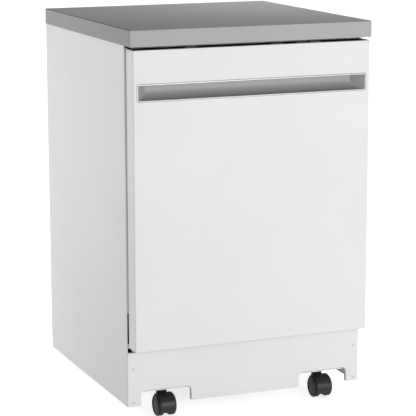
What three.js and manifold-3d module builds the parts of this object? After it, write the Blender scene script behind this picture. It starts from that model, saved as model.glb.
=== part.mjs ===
// Portable dishwasher on casters: cabinet, drop-down door, tub, racks, wash system and rolling base.
// Millimetres, +Z up, front towards -Y, origin on the floor under the middle of the cabinet.
import * as THREE from 'three';
import { mergeVertices } from 'three/addons/utils/BufferGeometryUtils.js';
import Module from 'manifold-3d';

const wasm = await Module();
wasm.setup();

// ---------------------------------------------------------------- driving dimensions
const WIDTH = 610; // worktop
const DEPTH = 640;
const HEIGHT = 931;
const WORKTOP_THICK = 38.7;
const SHEET = 1; // cabinet steel
const GAP = 0.3; // seat clearance between separate pieces
const FLAT = 0.001; // flat faces joined side by side become one within this distance

// facets of round shapes
const PIN_FACETS = 10;
const TUBE_FACETS = 12;
const ROUND_FACETS = 16;
const DISC_FACETS = 20;
const BOWL_FACETS = 24;
const CURVE_STEPS = 4; // segments of each curve in a drawn outline

// cabinet
const SIDE_INSET = 1.5; // worktop edge to side panel
const FRONT_SETBACK = 47; // worktop front edge to side panel front edge
const CABINET_BOTTOM = 33.5;
const FRONT_FLANGE = 8;
const REAR_FLANGE = 12;
const SLOT_BOTTOM = 188; // cut-out in the front flange beside the hinge arm
const SLOT_TOP = 262.5;
const REAR_PANEL_BOTTOM = 60;

// kick plate
const KICK_INSET = 0.2; // side panel to kick plate end
const KICK_PROUD = 2.2; // in front of the side panels
const KICK_TOP = 166;
const KICK_TOP_FLANGE = 13;
const NOTCH_HALF = 64; // each way from the caster's stem
const NOTCH_TOP = 70;
const NOTCH_CORNER = 11;
const NOTCH_LIP = 10; // depth of the folded notch edge
const SCREW_INSET = 14; // side panel face to screw
const SCREW_HEIGHTS = [43.5, 125.5];
const SCREW_HEAD_R = 3.7;
const SCREW_HEAD_THICK = 0.7; // low domed heads that the open door clears
const SCREW_R = 1.9;

// base frame
const BASE_Z = 64;
const BASE_THICK = 3;
const BASE_BORDER_X = 142; // width of the frame's side members
const BASE_BORDER_Y = 82;
const BASE_BACK_GAP = 10;
const BASE_UPSTAND = 30;
const TAB_INSET = 8.5; // side panel face to the kick plate's tabs
const TAB_WIDTH = 15;
const TAB_TOP = 140;
const TAB_THICK = 3;
const POST = 22; // tub posts, and their inset from the tub's sides and front
const POST_BACK_INSET = 24;

// casters
const CASTER_INSET = 97.5; // side panel face to stem
const CASTER_SETBACK = 80; // worktop edge to stem
const CASTER_TRAIL = 20;
const WHEEL_R = 26.5;
const WHEEL_OUTER = 23.3; // half the overall width
const WHEEL_INNER = 6;
const WHEEL_CHAMFER = 3;
const WHEEL_DISH = 1;
const WHEEL_GAP = 1; // wheel to hood web
const HOOD_R = 29;
const HOOD_HALF = 20;
const HOOD_BOTTOM = 9;
const HOOD_CLEARANCE = 0.7;
const AXLE_R = 3;
const AXLE_FIT = 0.5;
const AXLE_INSET = 2; // axle end inside the wheel's outer face
const COLLAR_R = 13;
const STEM_R = 5;
const STEM_FIT = 0.6;
const SOCKET_R = 10;
const SOCKET_TOP = 86;

// door
const DOOR_SIDE_GAP = 3.8; // side panel face to door edge
const DOOR_BACK_GAP = 3.5; // door back to the side panels' front edge
const DOOR_DEPTH = 46;
const DOOR_TOP_GAP = 6.8; // under the worktop
const DOOR_BOTTOM = 177.1;
const INNER_PANEL = 2;
const INNER_RETURN = 17;
const CONSOLE_HEIGHT = 16;
const CONSOLE_WALL = 2;

// handle pocket
const BEZEL_PROUD = 1;
const BEZEL_INSET = 8; // door edge to bezel
const BEZEL_DROP = 84; // worktop to bezel
const BEZEL_HEIGHT = 43.2;
const BEZEL_CORNER = 5;
const BEZEL_RIM = 4.7;
const SCOOP_DEPTH = 30;
const SCOOP_WALL = 1.5;
const SCOOP_ROUND = 22; // radius between the floor and the back
const SCOOP_TOP_R = 4;
const SCOOP_SLOPE = 25; // how far each end leans in at the back

// hinges
const PIVOT_BACK = 2; // behind the side panels' front edge
const PIVOT_DROP = 5.1; // below the door
const HUB_R = 5;
const PIN_R = 2.5;
const PIN_FIT = 0.5;
const ARM_INSET = 15.5; // side panel face to the arm's inner face
const ARM_THICK = 3;
const ARM_NECK = 14;
const ARM_PLATE_BOTTOM = 30; // above the pivot
const ARM_PLATE_TOP = 90;
const ARM_PLATE_DEPTH = 38;
const ARM_TAIL = 42; // each way, back and down
const ARM_SLOT_GAP = 2; // door cut-outs beside the arm
const ARM_SLOT_REACH = 20; // in front of the pivot
const ARM_SLOT_TOP = 46; // above the pivot
const BRACKET_INSET = 19.5;
const BRACKET_THICK = 3;
const BRACKET_DEPTH = 28;
const BRACKET_FOOT = 6;
const SPRING_PIN_R = 2;
const SPRING_INSET = 22.5;
const SPRING_R = 5;

// buttons and latch
const BUTTON_XS = [-150, 67, 132, 165];
const BUTTON_Y = -300;
const BUTTON_LENGTH = 28;
const BUTTON_WIDTH = 12;
const BUTTON_HEIGHT = 9;
const BUTTON_PROUD = 0.8;
const LATCH_PIVOT_Y = -290;
const LATCH_DROP = 10.5; // below the door top
const TONGUE_HALF = 8;
const TONGUE_THICK = 5;
const TONGUE_REACH = 28;
const LATCH_PIN_R = 1.5;
const LATCH_PIN_FIT = 0.4;
const LATCH_EAR = 3;
const LATCH_SIDE_GAP = 2; // tongue to the console's ears
const LATCH_SLOT_GAP = 4; // tongue to the slot in the tub flange
const KEEPER_BACK = 5; // behind the tub flange's face
const KEEPER_DEPTH = 10;
const KEEPER_HEIGHT = 18;
const KEEPER_WALL = 3;
const KEEPER_TOP_WALL = 2;
const KEEPER_SIDE_GAP = 2.5;

// tub
const TUB_WALL = 2;
const TUB_SIDE_GAP = 30.5; // side panel face to tub wall
const TUB_BACK_GAP = 35;
const TUB_TOP_GAP = 24.3;
const MOUTH_SILL = 16; // height of the front sill over the tub bottom
const MOUTH_FLANGE = 18;
const MOUTH_FLANGE_LOW = 9; // narrower beside the hinge arms
const LEDGE_WIDTH = 16;
const LEDGE_BOTTOM = 199;
const LEDGE_TOP = 205;
const LEDGE_HALF = 255;
const GASKET_INSET = 3; // mouth edge to gasket
const GASKET_WIDTH = 10;
const GASKET_BOTTOM = 192;
const GASKET_BRIDGE = 3; // gasket left under the latch slot

// wash system
const WASH_Y = 6; // centre of the tub
const SUMP_HOLE_R = 100;
const SUMP_FLANGE_R = 112;
const SUMP_R = 96;
const SUMP_WALL = 3;
const SUMP_BOTTOM = 112;
const TOWER_R = 12;
const TOWER_SHOULDER_R = 17;
const TOWER_TOP = 212;
const FILTER_X = 56;
const FILTER_R = 32;
const FILTER_RIM_R = 36;
const FILTER_BOTTOM = 125;
const FILTER_WALL = 2;
const FILTER_RIM_THICK = 3;
const FILTER_GRIP_HEIGHT = 10;
const FILTER_GRIP_HALF = 2;
const PORT_X = 110;
const PORT_Z = 132;
const PORT_R = 18;
const PORT_BORE_R = 14;
const DRAIN_PORT_R = 12;
const DRAIN_BORE_R = 8;
const PUMP_HEAD_R = 32;
const PUMP_HEAD_LENGTH = 26;
const PUMP_MOTOR_R = 28;
const PUMP_LENGTH = 105;
const DRAIN_HEAD_R = 25;
const DRAIN_HEAD_LENGTH = 20;
const DRAIN_MOTOR_R = 19;
const DRAIN_LENGTH = 62;
const HEATER_R = 140;
const HEATER_ROD_R = 4;
const HEATER_Z = 186;
const HEATER_GAP_DEG = 24;
const HEATER_FIT = 0.5;
const HEATER_STEPS = 26;
const HEATER_SECTION_STEPS = 3;
const HEATER_LEG = 14; // terminals below the tub
const LOWER_ARM_Z = 196;
const LOWER_ARM_HALF = 230;
const SPRAY_ARM_WIDTH = 44;
const SPRAY_ARM_THICK = 10;
const SPRAY_TIP_RATIO = 0.6; // tip width to middle width
const HUB_FIT = 0.8;
const UPPER_ARM_Z = 505;
const UPPER_ARM_HALF = 200;
const SPIGOT_R = 8;
const SPIGOT_FLANGE = 4; // flange reach and thickness under the upper arm
const FEED_R = 7;

// racks
const WIRE = 4.5;
const RACK_INSET = 21; // tub wall to the rack's side wires
const LOWER_RACK_FRONT = -246;
const LOWER_RACK_BACK = 250;
const LOWER_RACK_LEVELS = [222, 300, 380];
const UPPER_RACK_FRONT = -240;
const UPPER_RACK_BACK = 240;
const UPPER_RACK_LEVELS = [545, 600, 650];
const FLOOR_WIRES = 6;
const CROSS_WIRES = 3;
const WALL_WIRES = 4;
const TINE_ROWS = [-125, 25];
const TINES = 7;
const TINE_TOP = 288;
const LOWER_ROLLER_R = 14;
const UPPER_ROLLER_R = 9;
const ROLLER_OFFSET = 7; // rack's side wires to roller
const ROLLER_WIDTH = 9;
const ROLLER_YS = [-135, 135];
const RAIL_Z = 560; // rolling surface of the upper rails
const RAIL_HALF = 250;
const RAIL_WEB = 3;
const RAIL_LIP = 15;
const RAIL_LIP_THICK = 4;
const RAIL_HEIGHT = 34;

// cutlery basket
const BASKET_INSET = 47; // rack's side wires to the basket's middle
const BASKET_HALF_X = 37;
const BASKET_HALF_Y = 150;
const BASKET_HEIGHT = 112;
const BASKET_WALL = 2.5;
const BASKET_CELLS = 3;
const BASKET_HANDLE = 40; // above the rim

// detergent dispenser
const DISPENSER_Z = 465;
const DISPENSER_HALF_X = 75;
const DISPENSER_HALF_Z = 40;
const DISPENSER_PROUD = 2.5;
const DISPENSER_DEPTH = 24;
const WELL_INSET = 7; // flange round the dispenser's well
const CUP_X = -30;
const CUP_HALF_X = 30;
const CUP_HALF_Z = 25;
const CUP_DEPTH = 20;
const LID_MARGIN = 3; // lid over the cup's edge
const LID_THICK = 3;
const LID_EAR = 3;
const LID_PIN_R = 1.2;
const LID_PIN_FIT = 0.5;
const LID_HINGE_DROP = 30; // below the dispenser centre
const CAP_X = 42;
const CAP_R = 15;
const CAP_STEM_R = 8;
const CAP_STEM_FIT = 0.6;
const CAP_STEM_LENGTH = 10;
const CAP_THICK = 4;
const CAP_GRIP_REACH = 10.5;
const CAP_GRIP_HALF = 2;
const CAP_GRIP_HEIGHT = 3;

// rear connections
const GLAND_X = 180;
const REAR_FITTING_Z = 150;
const GLAND_R = 10;
const GLAND_FLANGE_R = 15;
const GLAND_BORE_R = 4;
const REAR_PROUD = 3.5; // reaches as far back as the handle bezel reaches forward
const HOSE_X = -180;
const HOSE_PITCH = 32;
const HOSE_BORE_R = 10;
const HOSE_SLEEVE_R = 12;
const GROMMET_HALF_X = 36;
const GROMMET_HALF_Z = 20;
const GROMMET_CORNER = 6;
const GROMMET_INSIDE = 8;
const VALVE_X = -212;
const VALVE_Y = 285;
const VALVE_HALF_X = 18;
const VALVE_HALF_Y = 14;
const VALVE_HEIGHT = 30;
const VALVE_PORT_R = 12;
const VALVE_PORT_TOP = 58;

// ---------------------------------------------------------------- derived places
const TOP_Z = HEIGHT - WORKTOP_THICK;
const SIDE_X = WIDTH / 2 - SIDE_INSET;
const FRONT_Y = -DEPTH / 2 + FRONT_SETBACK;
const BACK_Y = DEPTH / 2;
const DOOR_X = SIDE_X - DOOR_SIDE_GAP;
const DOOR_BACK = FRONT_Y - DOOR_BACK_GAP;
const DOOR_FACE = DOOR_BACK - DOOR_DEPTH;
const DOOR_TOP = TOP_Z - DOOR_TOP_GAP;
const PIVOT_Y = FRONT_Y + PIVOT_BACK;
const PIVOT_Z = DOOR_BOTTOM - PIVOT_DROP;
const CASTER_X = SIDE_X - CASTER_INSET;
const CASTER_Y = DEPTH / 2 - CASTER_SETBACK;
const KICK_X = SIDE_X - KICK_INSET;
const KICK_FACE = FRONT_Y - KICK_PROUD;
const KICK_BACK = KICK_FACE + SHEET;
const SCREW_X = SIDE_X - SCREW_INSET;
const TAB_OUTER = SIDE_X - TAB_INSET;
const TAB_INNER = TAB_OUTER - TAB_WIDTH;
const BASE_TOP = BASE_Z + BASE_THICK;
const BASE_X = SIDE_X - SHEET - GAP;
const BASE_FRONT = KICK_FACE + NOTCH_LIP + GAP;
const BASE_BACK = BACK_Y - BASE_BACK_GAP;
const TUB_X = SIDE_X - TUB_SIDE_GAP;
const TUB_BOTTOM = PIVOT_Z;
const TUB_FLOOR = TUB_BOTTOM + TUB_WALL;
const TUB_TOP = TOP_Z - TUB_TOP_GAP;
const TUB_BACK = BACK_Y - TUB_BACK_GAP;
const MOUTH_X = TUB_X - TUB_WALL;
const MOUTH_TOP = TUB_TOP - TUB_WALL;
const POST_X = TUB_X - POST;
const FLANGE_X = TUB_X + MOUTH_FLANGE;
const FLANGE_TOP = TUB_TOP + MOUTH_FLANGE;
const CONSOLE_BOTTOM = DOOR_TOP - CONSOLE_HEIGHT;
const BEZEL_HALF = DOOR_X - BEZEL_INSET;
const BEZEL_TOP = TOP_Z - BEZEL_DROP;
const BEZEL_BOTTOM = BEZEL_TOP - BEZEL_HEIGHT;
const ARM_X = SIDE_X - ARM_INSET;
const BRACKET_X = SIDE_X - BRACKET_INSET;
const SPRING_X = SIDE_X - SPRING_INSET;
const LATCH_Z = DOOR_TOP - LATCH_DROP;
const RACK_HALF = MOUTH_X - RACK_INSET;
const ROLLER_X = RACK_HALF + ROLLER_OFFSET;
const BASKET_X = RACK_HALF - BASKET_INSET;
const WELL_HALF_X = DISPENSER_HALF_X - WELL_INSET;
const WELL_HALF_Z = DISPENSER_HALF_Z - WELL_INSET;

// ---------------------------------------------------------------- materials
function material(color, roughness, metalness) {
  return new THREE.MeshStandardMaterial({ color, roughness, metalness });
}
const WHITE_STEEL = [0xe8e9ec, 0.35, 0.1];
const LAMINATE = [0x858585, 0.5, 0];
const ZINC_STEEL = [0xa9adb0, 0.4, 0.9];
const STAINLESS = [0xb9bcbe, 0.3, 1];
const BLACK_PLASTIC = [0x1d1d1e, 0.45, 0];
const GREY_PLASTIC = [0x6c6f73, 0.5, 0];
const SILVER_PLASTIC = [0x9a9b9d, 0.3, 0.5];
const RUBBER = [0x2a2a2b, 0.8, 0];
const RACK_COAT = [0x9aa3ad, 0.5, 0];
const CREAM_PLASTIC = [0xd8d8d4, 0.5, 0];
const HEATER_SHEATH = [0x6b625c, 0.45, 0.8];

// ---------------------------------------------------------------- geometry helpers
const AXES = {
  // shape x, shape y and extrusion direction for an outline drawn square to each axis
  x: new THREE.Matrix4().makeBasis(vec(0, 1, 0), vec(0, 0, 1), vec(1, 0, 0)),
  y: new THREE.Matrix4().makeBasis(vec(1, 0, 0), vec(0, 0, 1), vec(0, -1, 0)),
  z: new THREE.Matrix4(),
};

function vec(x, y, z) {
  return new THREE.Vector3(x, y, z);
}

function block(x0, x1, y0, y1, z0, z1) {
  const geometry = new THREE.BoxGeometry(Math.abs(x1 - x0), Math.abs(y1 - y0), Math.abs(z1 - z0));
  return geometry.translate((x0 + x1) / 2, (y0 + y1) / 2, (z0 + z1) / 2);
}

// A round bar along one axis, from low to high on it, centred at (a, b) on the other two in X, Y, Z order.
function bar(axis, radius, low, high, a, b, sides = ROUND_FACETS) {
  const geometry = new THREE.CylinderGeometry(radius, radius, high - low, sides);
  const middle = (low + high) / 2;
  if (axis === 'x') return geometry.rotateZ(Math.PI / 2).translate(middle, a, b);
  if (axis === 'y') return geometry.translate(a, middle, b);
  return geometry.rotateX(Math.PI / 2).translate(a, b, middle);
}

// An outline pushed from low to high along an axis. Square to X it is drawn in Y and Z, square to Y in X and Z.
function prism(axis, shape, low, high, curveSegments = CURVE_STEPS) {
  const options = { depth: high - low, bevelEnabled: false, curveSegments };
  const geometry = new THREE.ExtrudeGeometry(shape, options).applyMatrix4(AXES[axis]);
  if (axis === 'x') return geometry.translate(low, 0, 0);
  if (axis === 'y') return geometry.translate(0, high, 0);
  return geometry.translate(0, 0, low);
}

function roundedRect(x0, x1, y0, y1, radius) {
  const shape = new THREE.Shape();
  shape.moveTo(x0 + radius, y0);
  shape.lineTo(x1 - radius, y0);
  shape.absarc(x1 - radius, y0 + radius, radius, -Math.PI / 2, 0);
  shape.lineTo(x1, y1 - radius);
  shape.absarc(x1 - radius, y1 - radius, radius, 0, Math.PI / 2);
  shape.lineTo(x0 + radius, y1);
  shape.absarc(x0 + radius, y1 - radius, radius, Math.PI / 2, Math.PI);
  shape.lineTo(x0, y0 + radius);
  shape.absarc(x0 + radius, y0 + radius, radius, Math.PI, 1.5 * Math.PI);
  return shape;
}

// A flat link with round ends between two points of the plane it is drawn in.
function link(a, b, radius) {
  const along = Math.atan2(b[1] - a[1], b[0] - a[0]);
  const shape = new THREE.Shape();
  shape.absarc(a[0], a[1], radius, along + Math.PI / 2, along + 1.5 * Math.PI);
  shape.absarc(b[0], b[1], radius, along - Math.PI / 2, along + Math.PI / 2);
  return shape;
}

function solid(geometry) {
  const bare = geometry.clone();
  bare.deleteAttribute('normal');
  bare.deleteAttribute('uv');
  const merged = mergeVertices(bare);
  const vertProperties = new Float32Array(merged.attributes.position.array);
  const triVerts = new Uint32Array(merged.index.array);
  return new wasm.Manifold(new wasm.Mesh({ numProp: 3, vertProperties, triVerts }));
}

// Joins the first list of geometries and cuts the second list out of it.
function build(joined, cut = []) {
  let body = solid(joined[0]);
  for (const geometry of joined.slice(1)) body = body.add(solid(geometry));
  for (const geometry of cut) body = body.subtract(solid(geometry));
  const mesh = body.asOriginal().simplify(FLAT).getMesh();
  const result = new THREE.BufferGeometry();
  result.setAttribute('position', new THREE.BufferAttribute(mesh.vertProperties, 3));
  result.setIndex(new THREE.BufferAttribute(mesh.triVerts, 1));
  return result;
}

function piece(group, name, finish, joined, cut) {
  const mesh = new THREE.Mesh(build(joined, cut), material(...finish));
  mesh.name = name;
  group.add(mesh);
  return mesh;
}

// The same block on the side given by its sign, from its distances to the middle plane.
function sideBlock(side, near, far, y0, y1, z0, z1) {
  return block(side * near, side * far, y0, y1, z0, z1);
}

function sideBar(side, radius, near, far, y, z, sides) {
  return bar('x', radius, Math.min(side * near, side * far), Math.max(side * near, side * far), y, z, sides);
}

function sidePrism(side, shape, near, far, curveSegments) {
  const low = Math.min(side * near, side * far);
  return prism('x', shape, low, low + far - near, curveSegments);
}

const SIDES = [['left', -1], ['right', 1]];

// ---------------------------------------------------------------- cabinet
function addWorktop(group) {
  const y = DEPTH / 2;
  piece(group, 'worktop', LAMINATE, [block(-WIDTH / 2, WIDTH / 2, -y, y, TOP_Z, HEIGHT)]);
}

function addSidePanel(group, name, side) {
  const wallBack = BACK_Y - SHEET;
  const fold = SIDE_X - FRONT_FLANGE;
  const rearFold = SIDE_X - REAR_FLANGE;
  piece(group, `${name}_side_panel`, WHITE_STEEL, [
    sideBlock(side, SIDE_X - SHEET, SIDE_X, FRONT_Y, wallBack, CABINET_BOTTOM, TOP_Z),
    sideBlock(side, fold, SIDE_X, FRONT_Y, FRONT_Y + SHEET, CABINET_BOTTOM, TOP_Z),
    sideBlock(side, fold, SIDE_X, FRONT_Y, wallBack, CABINET_BOTTOM, CABINET_BOTTOM + SHEET),
    sideBlock(side, rearFold, SIDE_X, wallBack - SHEET, wallBack, CABINET_BOTTOM, TOP_Z),
    sideBlock(side, rearFold, SIDE_X, FRONT_Y, wallBack, TOP_Z - SHEET, TOP_Z),
  ], [
    sideBlock(side, fold - SHEET, SIDE_X - SHEET, FRONT_Y - SHEET, FRONT_Y + 2 * SHEET, SLOT_BOTTOM, SLOT_TOP),
  ]);
}

function addRearPanel(group) {
  piece(group, 'rear_panel', WHITE_STEEL, [
    block(-SIDE_X, SIDE_X, BACK_Y - SHEET, BACK_Y, REAR_PANEL_BOTTOM, TOP_Z),
  ], [
    bar('y', GLAND_R + GAP, BACK_Y - 2 * SHEET, BACK_Y + SHEET, GLAND_X, REAR_FITTING_Z),
    ...hoseBores(HOSE_SLEEVE_R + GAP, BACK_Y - 2 * SHEET, BACK_Y + SHEET),
  ]);
}

function hoseBores(radius, low, high) {
  return [-0.5, 0.5].map((n) => bar('y', radius, low, high, HOSE_X + n * HOSE_PITCH, REAR_FITTING_Z,
    TUBE_FACETS));
}

function addRearFittings(group) {
  const inner = BACK_Y - SHEET - GROMMET_INSIDE;
  const outer = BACK_Y + REAR_PROUD;
  piece(group, 'cord_gland', BLACK_PLASTIC, [
    bar('y', GLAND_R, inner, outer, GLAND_X, REAR_FITTING_Z),
    bar('y', GLAND_FLANGE_R, BACK_Y, outer, GLAND_X, REAR_FITTING_Z),
  ], [bar('y', GLAND_BORE_R, inner - SHEET, outer + SHEET, GLAND_X, REAR_FITTING_Z, TUBE_FACETS)]);
  const plate = roundedRect(HOSE_X - GROMMET_HALF_X, HOSE_X + GROMMET_HALF_X,
    REAR_FITTING_Z - GROMMET_HALF_Z, REAR_FITTING_Z + GROMMET_HALF_Z, GROMMET_CORNER);
  piece(group, 'hose_grommet', BLACK_PLASTIC, [
    prism('y', plate, BACK_Y, outer),
    ...hoseBores(HOSE_SLEEVE_R, inner, BACK_Y + SHEET),
  ], hoseBores(HOSE_BORE_R, inner - SHEET, outer + SHEET));
}

function notchShape(side, grow) {
  const low = CABINET_BOTTOM - NOTCH_TOP; // the rounded rectangle runs on below the plate's edge
  return roundedRect(
    side * CASTER_X - NOTCH_HALF - grow, side * CASTER_X + NOTCH_HALF + grow,
    low, NOTCH_TOP + grow, NOTCH_CORNER + grow);
}

function addKickPlate(group) {
  const lipBack = KICK_FACE + NOTCH_LIP;
  const bottomFold = CABINET_BOTTOM + SHEET;
  const end = KICK_X - FRONT_FLANGE - SHEET;
  const joined = [
    block(-KICK_X, KICK_X, KICK_FACE, KICK_BACK, CABINET_BOTTOM, KICK_TOP),
    block(-TAB_INNER + SPRING_R, TAB_INNER - SPRING_R, KICK_FACE, KICK_FACE + KICK_TOP_FLANGE,
      KICK_TOP - SHEET, KICK_TOP),
    block(-end, end, KICK_FACE, lipBack, CABINET_BOTTOM, bottomFold),
  ];
  const cut = [];
  for (const [, side] of SIDES) {
    joined.push(prism('y', notchShape(side, SHEET), KICK_FACE, lipBack));
    cut.push(prism('y', notchShape(side, 0), KICK_FACE - SHEET, lipBack + SHEET));
  }
  cut.push(block(-WIDTH, WIDTH, -DEPTH, 0, -HEIGHT, CABINET_BOTTOM));
  cut.push(...screwHoles(SCREW_R + GAP));
  piece(group, 'kick_plate', WHITE_STEEL, joined, cut);
}

function screwHoles(radius) {
  return SCREW_HEIGHTS.flatMap((z) => SIDES.map(([, side]) => (
    bar('y', radius, KICK_FACE - SHEET, KICK_BACK + 2 * TAB_THICK, side * SCREW_X, z, PIN_FACETS))));
}

function addKickScrews(group) {
  for (const [name, side] of SIDES) {
    for (const [index, z] of SCREW_HEIGHTS.entries()) {
      const tip = KICK_BACK + TAB_THICK + SCREW_R;
      const level = index === 0 ? 'lower' : 'upper';
      piece(group, `kick_screw_${name}_${level}`, WHITE_STEEL, [
        bar('y', SCREW_HEAD_R, KICK_FACE - SCREW_HEAD_THICK, KICK_FACE, side * SCREW_X, z, TUBE_FACETS),
        bar('y', SCREW_R, KICK_FACE - SCREW_HEAD_THICK / 2, tip, side * SCREW_X, z, PIN_FACETS),
      ]);
    }
  }
}

// ---------------------------------------------------------------- base frame
function addBaseFrame(group) {
  const joined = [block(-BASE_X, BASE_X, BASE_FRONT, BASE_BACK, BASE_Z, BASE_TOP)];
  const openX = BASE_X - BASE_BORDER_X;
  const cut = [block(-openX, openX, BASE_FRONT + BASE_BORDER_Y, BASE_BACK - BASE_BORDER_Y,
    BASE_Z - BASE_THICK, BASE_TOP + BASE_THICK)];
  for (const [, side] of SIDES) {
    joined.push(
      sideBlock(side, BASE_X - 2 * SHEET, BASE_X, BASE_FRONT, BASE_BACK, BASE_Z, BASE_TOP + BASE_UPSTAND),
      sideBlock(side, TAB_INNER, TAB_OUTER, KICK_BACK, KICK_BACK + TAB_THICK,
        CABINET_BOTTOM + 2 * SHEET, TAB_TOP),
      sideBlock(side, TAB_INNER, TAB_OUTER, KICK_BACK, BASE_FRONT + TAB_THICK, BASE_Z, BASE_TOP),
    );
    for (const y of [FRONT_Y + POST, TUB_BACK - POST_BACK_INSET]) {
      joined.push(sideBlock(side, POST_X - POST / 2, POST_X + POST / 2, y - POST / 2, y + POST / 2,
        BASE_Z, TUB_BOTTOM));
    }
    for (const y of [-CASTER_Y, CASTER_Y]) {
      joined.push(bar('z', SOCKET_R, BASE_Z, SOCKET_TOP, side * CASTER_X, y, TUBE_FACETS));
      cut.push(bar('z', STEM_R + STEM_FIT, BASE_Z - SHEET, SOCKET_TOP + SHEET, side * CASTER_X, y,
        TUBE_FACETS));
    }
  }
  cut.push(...screwHoles(SCREW_R + GAP));
  piece(group, 'base_frame', ZINC_STEEL, joined, cut);
}

// ---------------------------------------------------------------- casters
// Each caster is drawn round its stem axis on the floor, with its wheels trailing towards the front.
function addCaster(group, name, x, y) {
  const caster = new THREE.Group();
  caster.position.set(x, y, 0);
  group.add(caster);
  const pocketR = WHEEL_R + HOOD_CLEARANCE;
  const web = WHEEL_INNER - WHEEL_GAP;
  const axleEnd = WHEEL_OUTER - AXLE_INSET;
  const seat = BASE_Z - GAP;
  piece(caster, `caster_hood_${name}`, BLACK_PLASTIC, [
    build([
      bar('x', HOOD_R, -HOOD_HALF, HOOD_HALF, -CASTER_TRAIL, WHEEL_R),
      bar('z', COLLAR_R, WHEEL_R, seat, 0, 0, TUBE_FACETS),
      bar('z', STEM_R, WHEEL_R, SOCKET_TOP, 0, 0, TUBE_FACETS),
    ], [
      bar('x', pocketR, web, WIDTH, -CASTER_TRAIL, WHEEL_R),
      bar('x', pocketR, -WIDTH, -web, -CASTER_TRAIL, WHEEL_R),
      block(-WIDTH, WIDTH, -DEPTH, DEPTH, -WHEEL_R, HOOD_BOTTOM),
    ]),
    bar('x', AXLE_R, -axleEnd, axleEnd, -CASTER_TRAIL, WHEEL_R, PIN_FACETS),
  ]);
  for (const [sideName, side] of SIDES) {
    piece(caster, `caster_wheel_${name}_${sideName}`, BLACK_PLASTIC, [wheelGeometry(side)]);
  }
}

// A disc with a chamfered outer edge and a slightly dished face, open in the middle for the axle.
function wheelGeometry(side) {
  const bore = AXLE_R + AXLE_FIT;
  const profile = [
    [bore, WHEEL_INNER],
    [WHEEL_R, WHEEL_INNER],
    [WHEEL_R, WHEEL_OUTER - WHEEL_CHAMFER],
    [WHEEL_R - WHEEL_CHAMFER, WHEEL_OUTER],
    [bore, WHEEL_OUTER - WHEEL_DISH],
    [bore, WHEEL_INNER],
  ].map(([radius, along]) => new THREE.Vector2(radius, along));
  const geometry = new THREE.LatheGeometry(profile, DISC_FACETS).rotateZ(-Math.PI / 2);
  if (side < 0) geometry.rotateZ(Math.PI);
  return geometry.translate(0, -CASTER_TRAIL, WHEEL_R);
}

function addCasters(group) {
  for (const [end, y] of [['front', -CASTER_Y], ['rear', CASTER_Y]]) {
    for (const [name, side] of SIDES) addCaster(group, `${end}_${name}`, side * CASTER_X, y);
  }
}

// ---------------------------------------------------------------- door
function armSlot(side, y0, y1, z0, z1) {
  return sideBlock(side, ARM_X - ARM_SLOT_GAP, ARM_X + ARM_THICK + ARM_SLOT_GAP, y0, y1, z0, z1);
}

function addDoorOuterPanel(group) {
  const back = DOOR_BACK - SHEET;
  const openX = BEZEL_HALF - BEZEL_RIM + SCOOP_WALL + GAP;
  const openZ = BEZEL_RIM - SCOOP_WALL - GAP;
  const joined = [
    block(-DOOR_X, DOOR_X, DOOR_FACE, DOOR_FACE + SHEET, DOOR_BOTTOM, DOOR_TOP),
    block(-DOOR_X, DOOR_X, DOOR_FACE, back, DOOR_BOTTOM, DOOR_BOTTOM + SHEET),
  ];
  const cut = [
    block(-openX, openX, DOOR_FACE - SHEET, DOOR_FACE + 2 * SHEET, BEZEL_BOTTOM + openZ, BEZEL_TOP - openZ),
  ];
  for (const [, side] of SIDES) {
    joined.push(sideBlock(side, DOOR_X - SHEET, DOOR_X, DOOR_FACE, DOOR_BACK, DOOR_BOTTOM, DOOR_TOP));
    cut.push(armSlot(side, PIVOT_Y - ARM_SLOT_REACH, DOOR_BACK, DOOR_BOTTOM - SHEET, DOOR_BOTTOM + 2 * SHEET));
  }
  piece(group, 'door_outer_panel', WHITE_STEEL, joined, cut);
}

function addDoorInnerPanel(group) {
  const x = DOOR_X - SHEET - GAP;
  const low = DOOR_BOTTOM + SHEET + GAP;
  const high = CONSOLE_BOTTOM - GAP;
  const front = DOOR_BACK - INNER_RETURN;
  const face = DOOR_BACK - INNER_PANEL;
  const wellX = WELL_HALF_X + GAP;
  const wellZ = WELL_HALF_Z + GAP;
  const cut = [
    block(-x + INNER_PANEL, x - INNER_PANEL, front - SHEET, face, low + INNER_PANEL, high - INNER_PANEL),
    block(-wellX, wellX, face - SHEET, DOOR_BACK + SHEET, DISPENSER_Z - wellZ, DISPENSER_Z + wellZ),
  ];
  for (const [, side] of SIDES) {
    cut.push(armSlot(side, front - SHEET, DOOR_BACK + SHEET, low - SHEET, PIVOT_Z + ARM_SLOT_TOP));
  }
  piece(group, 'door_inner_panel', STAINLESS, [block(-x, x, front, DOOR_BACK, low, high)], cut);
}

// The finger scoop in Y and Z: a flat floor, a round rise to its back and a small curve under its roof.
function scoopShape(grow) {
  const mouth = DOOR_FACE - BEZEL_PROUD - (grow > 0 ? 0 : SHEET);
  const back = DOOR_FACE + SCOOP_DEPTH + grow;
  const top = BEZEL_TOP - BEZEL_RIM + grow;
  const bottom = BEZEL_BOTTOM + BEZEL_RIM - grow;
  const round = SCOOP_ROUND + grow;
  const shape = new THREE.Shape();
  shape.moveTo(mouth, bottom);
  shape.lineTo(back - round, bottom);
  shape.absarc(back - round, bottom + round, round, -Math.PI / 2, 0);
  shape.lineTo(back, top - SCOOP_TOP_R);
  shape.quadraticCurveTo(back, top, back - SCOOP_TOP_R, top);
  shape.lineTo(mouth, top);
  return shape;
}

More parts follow.
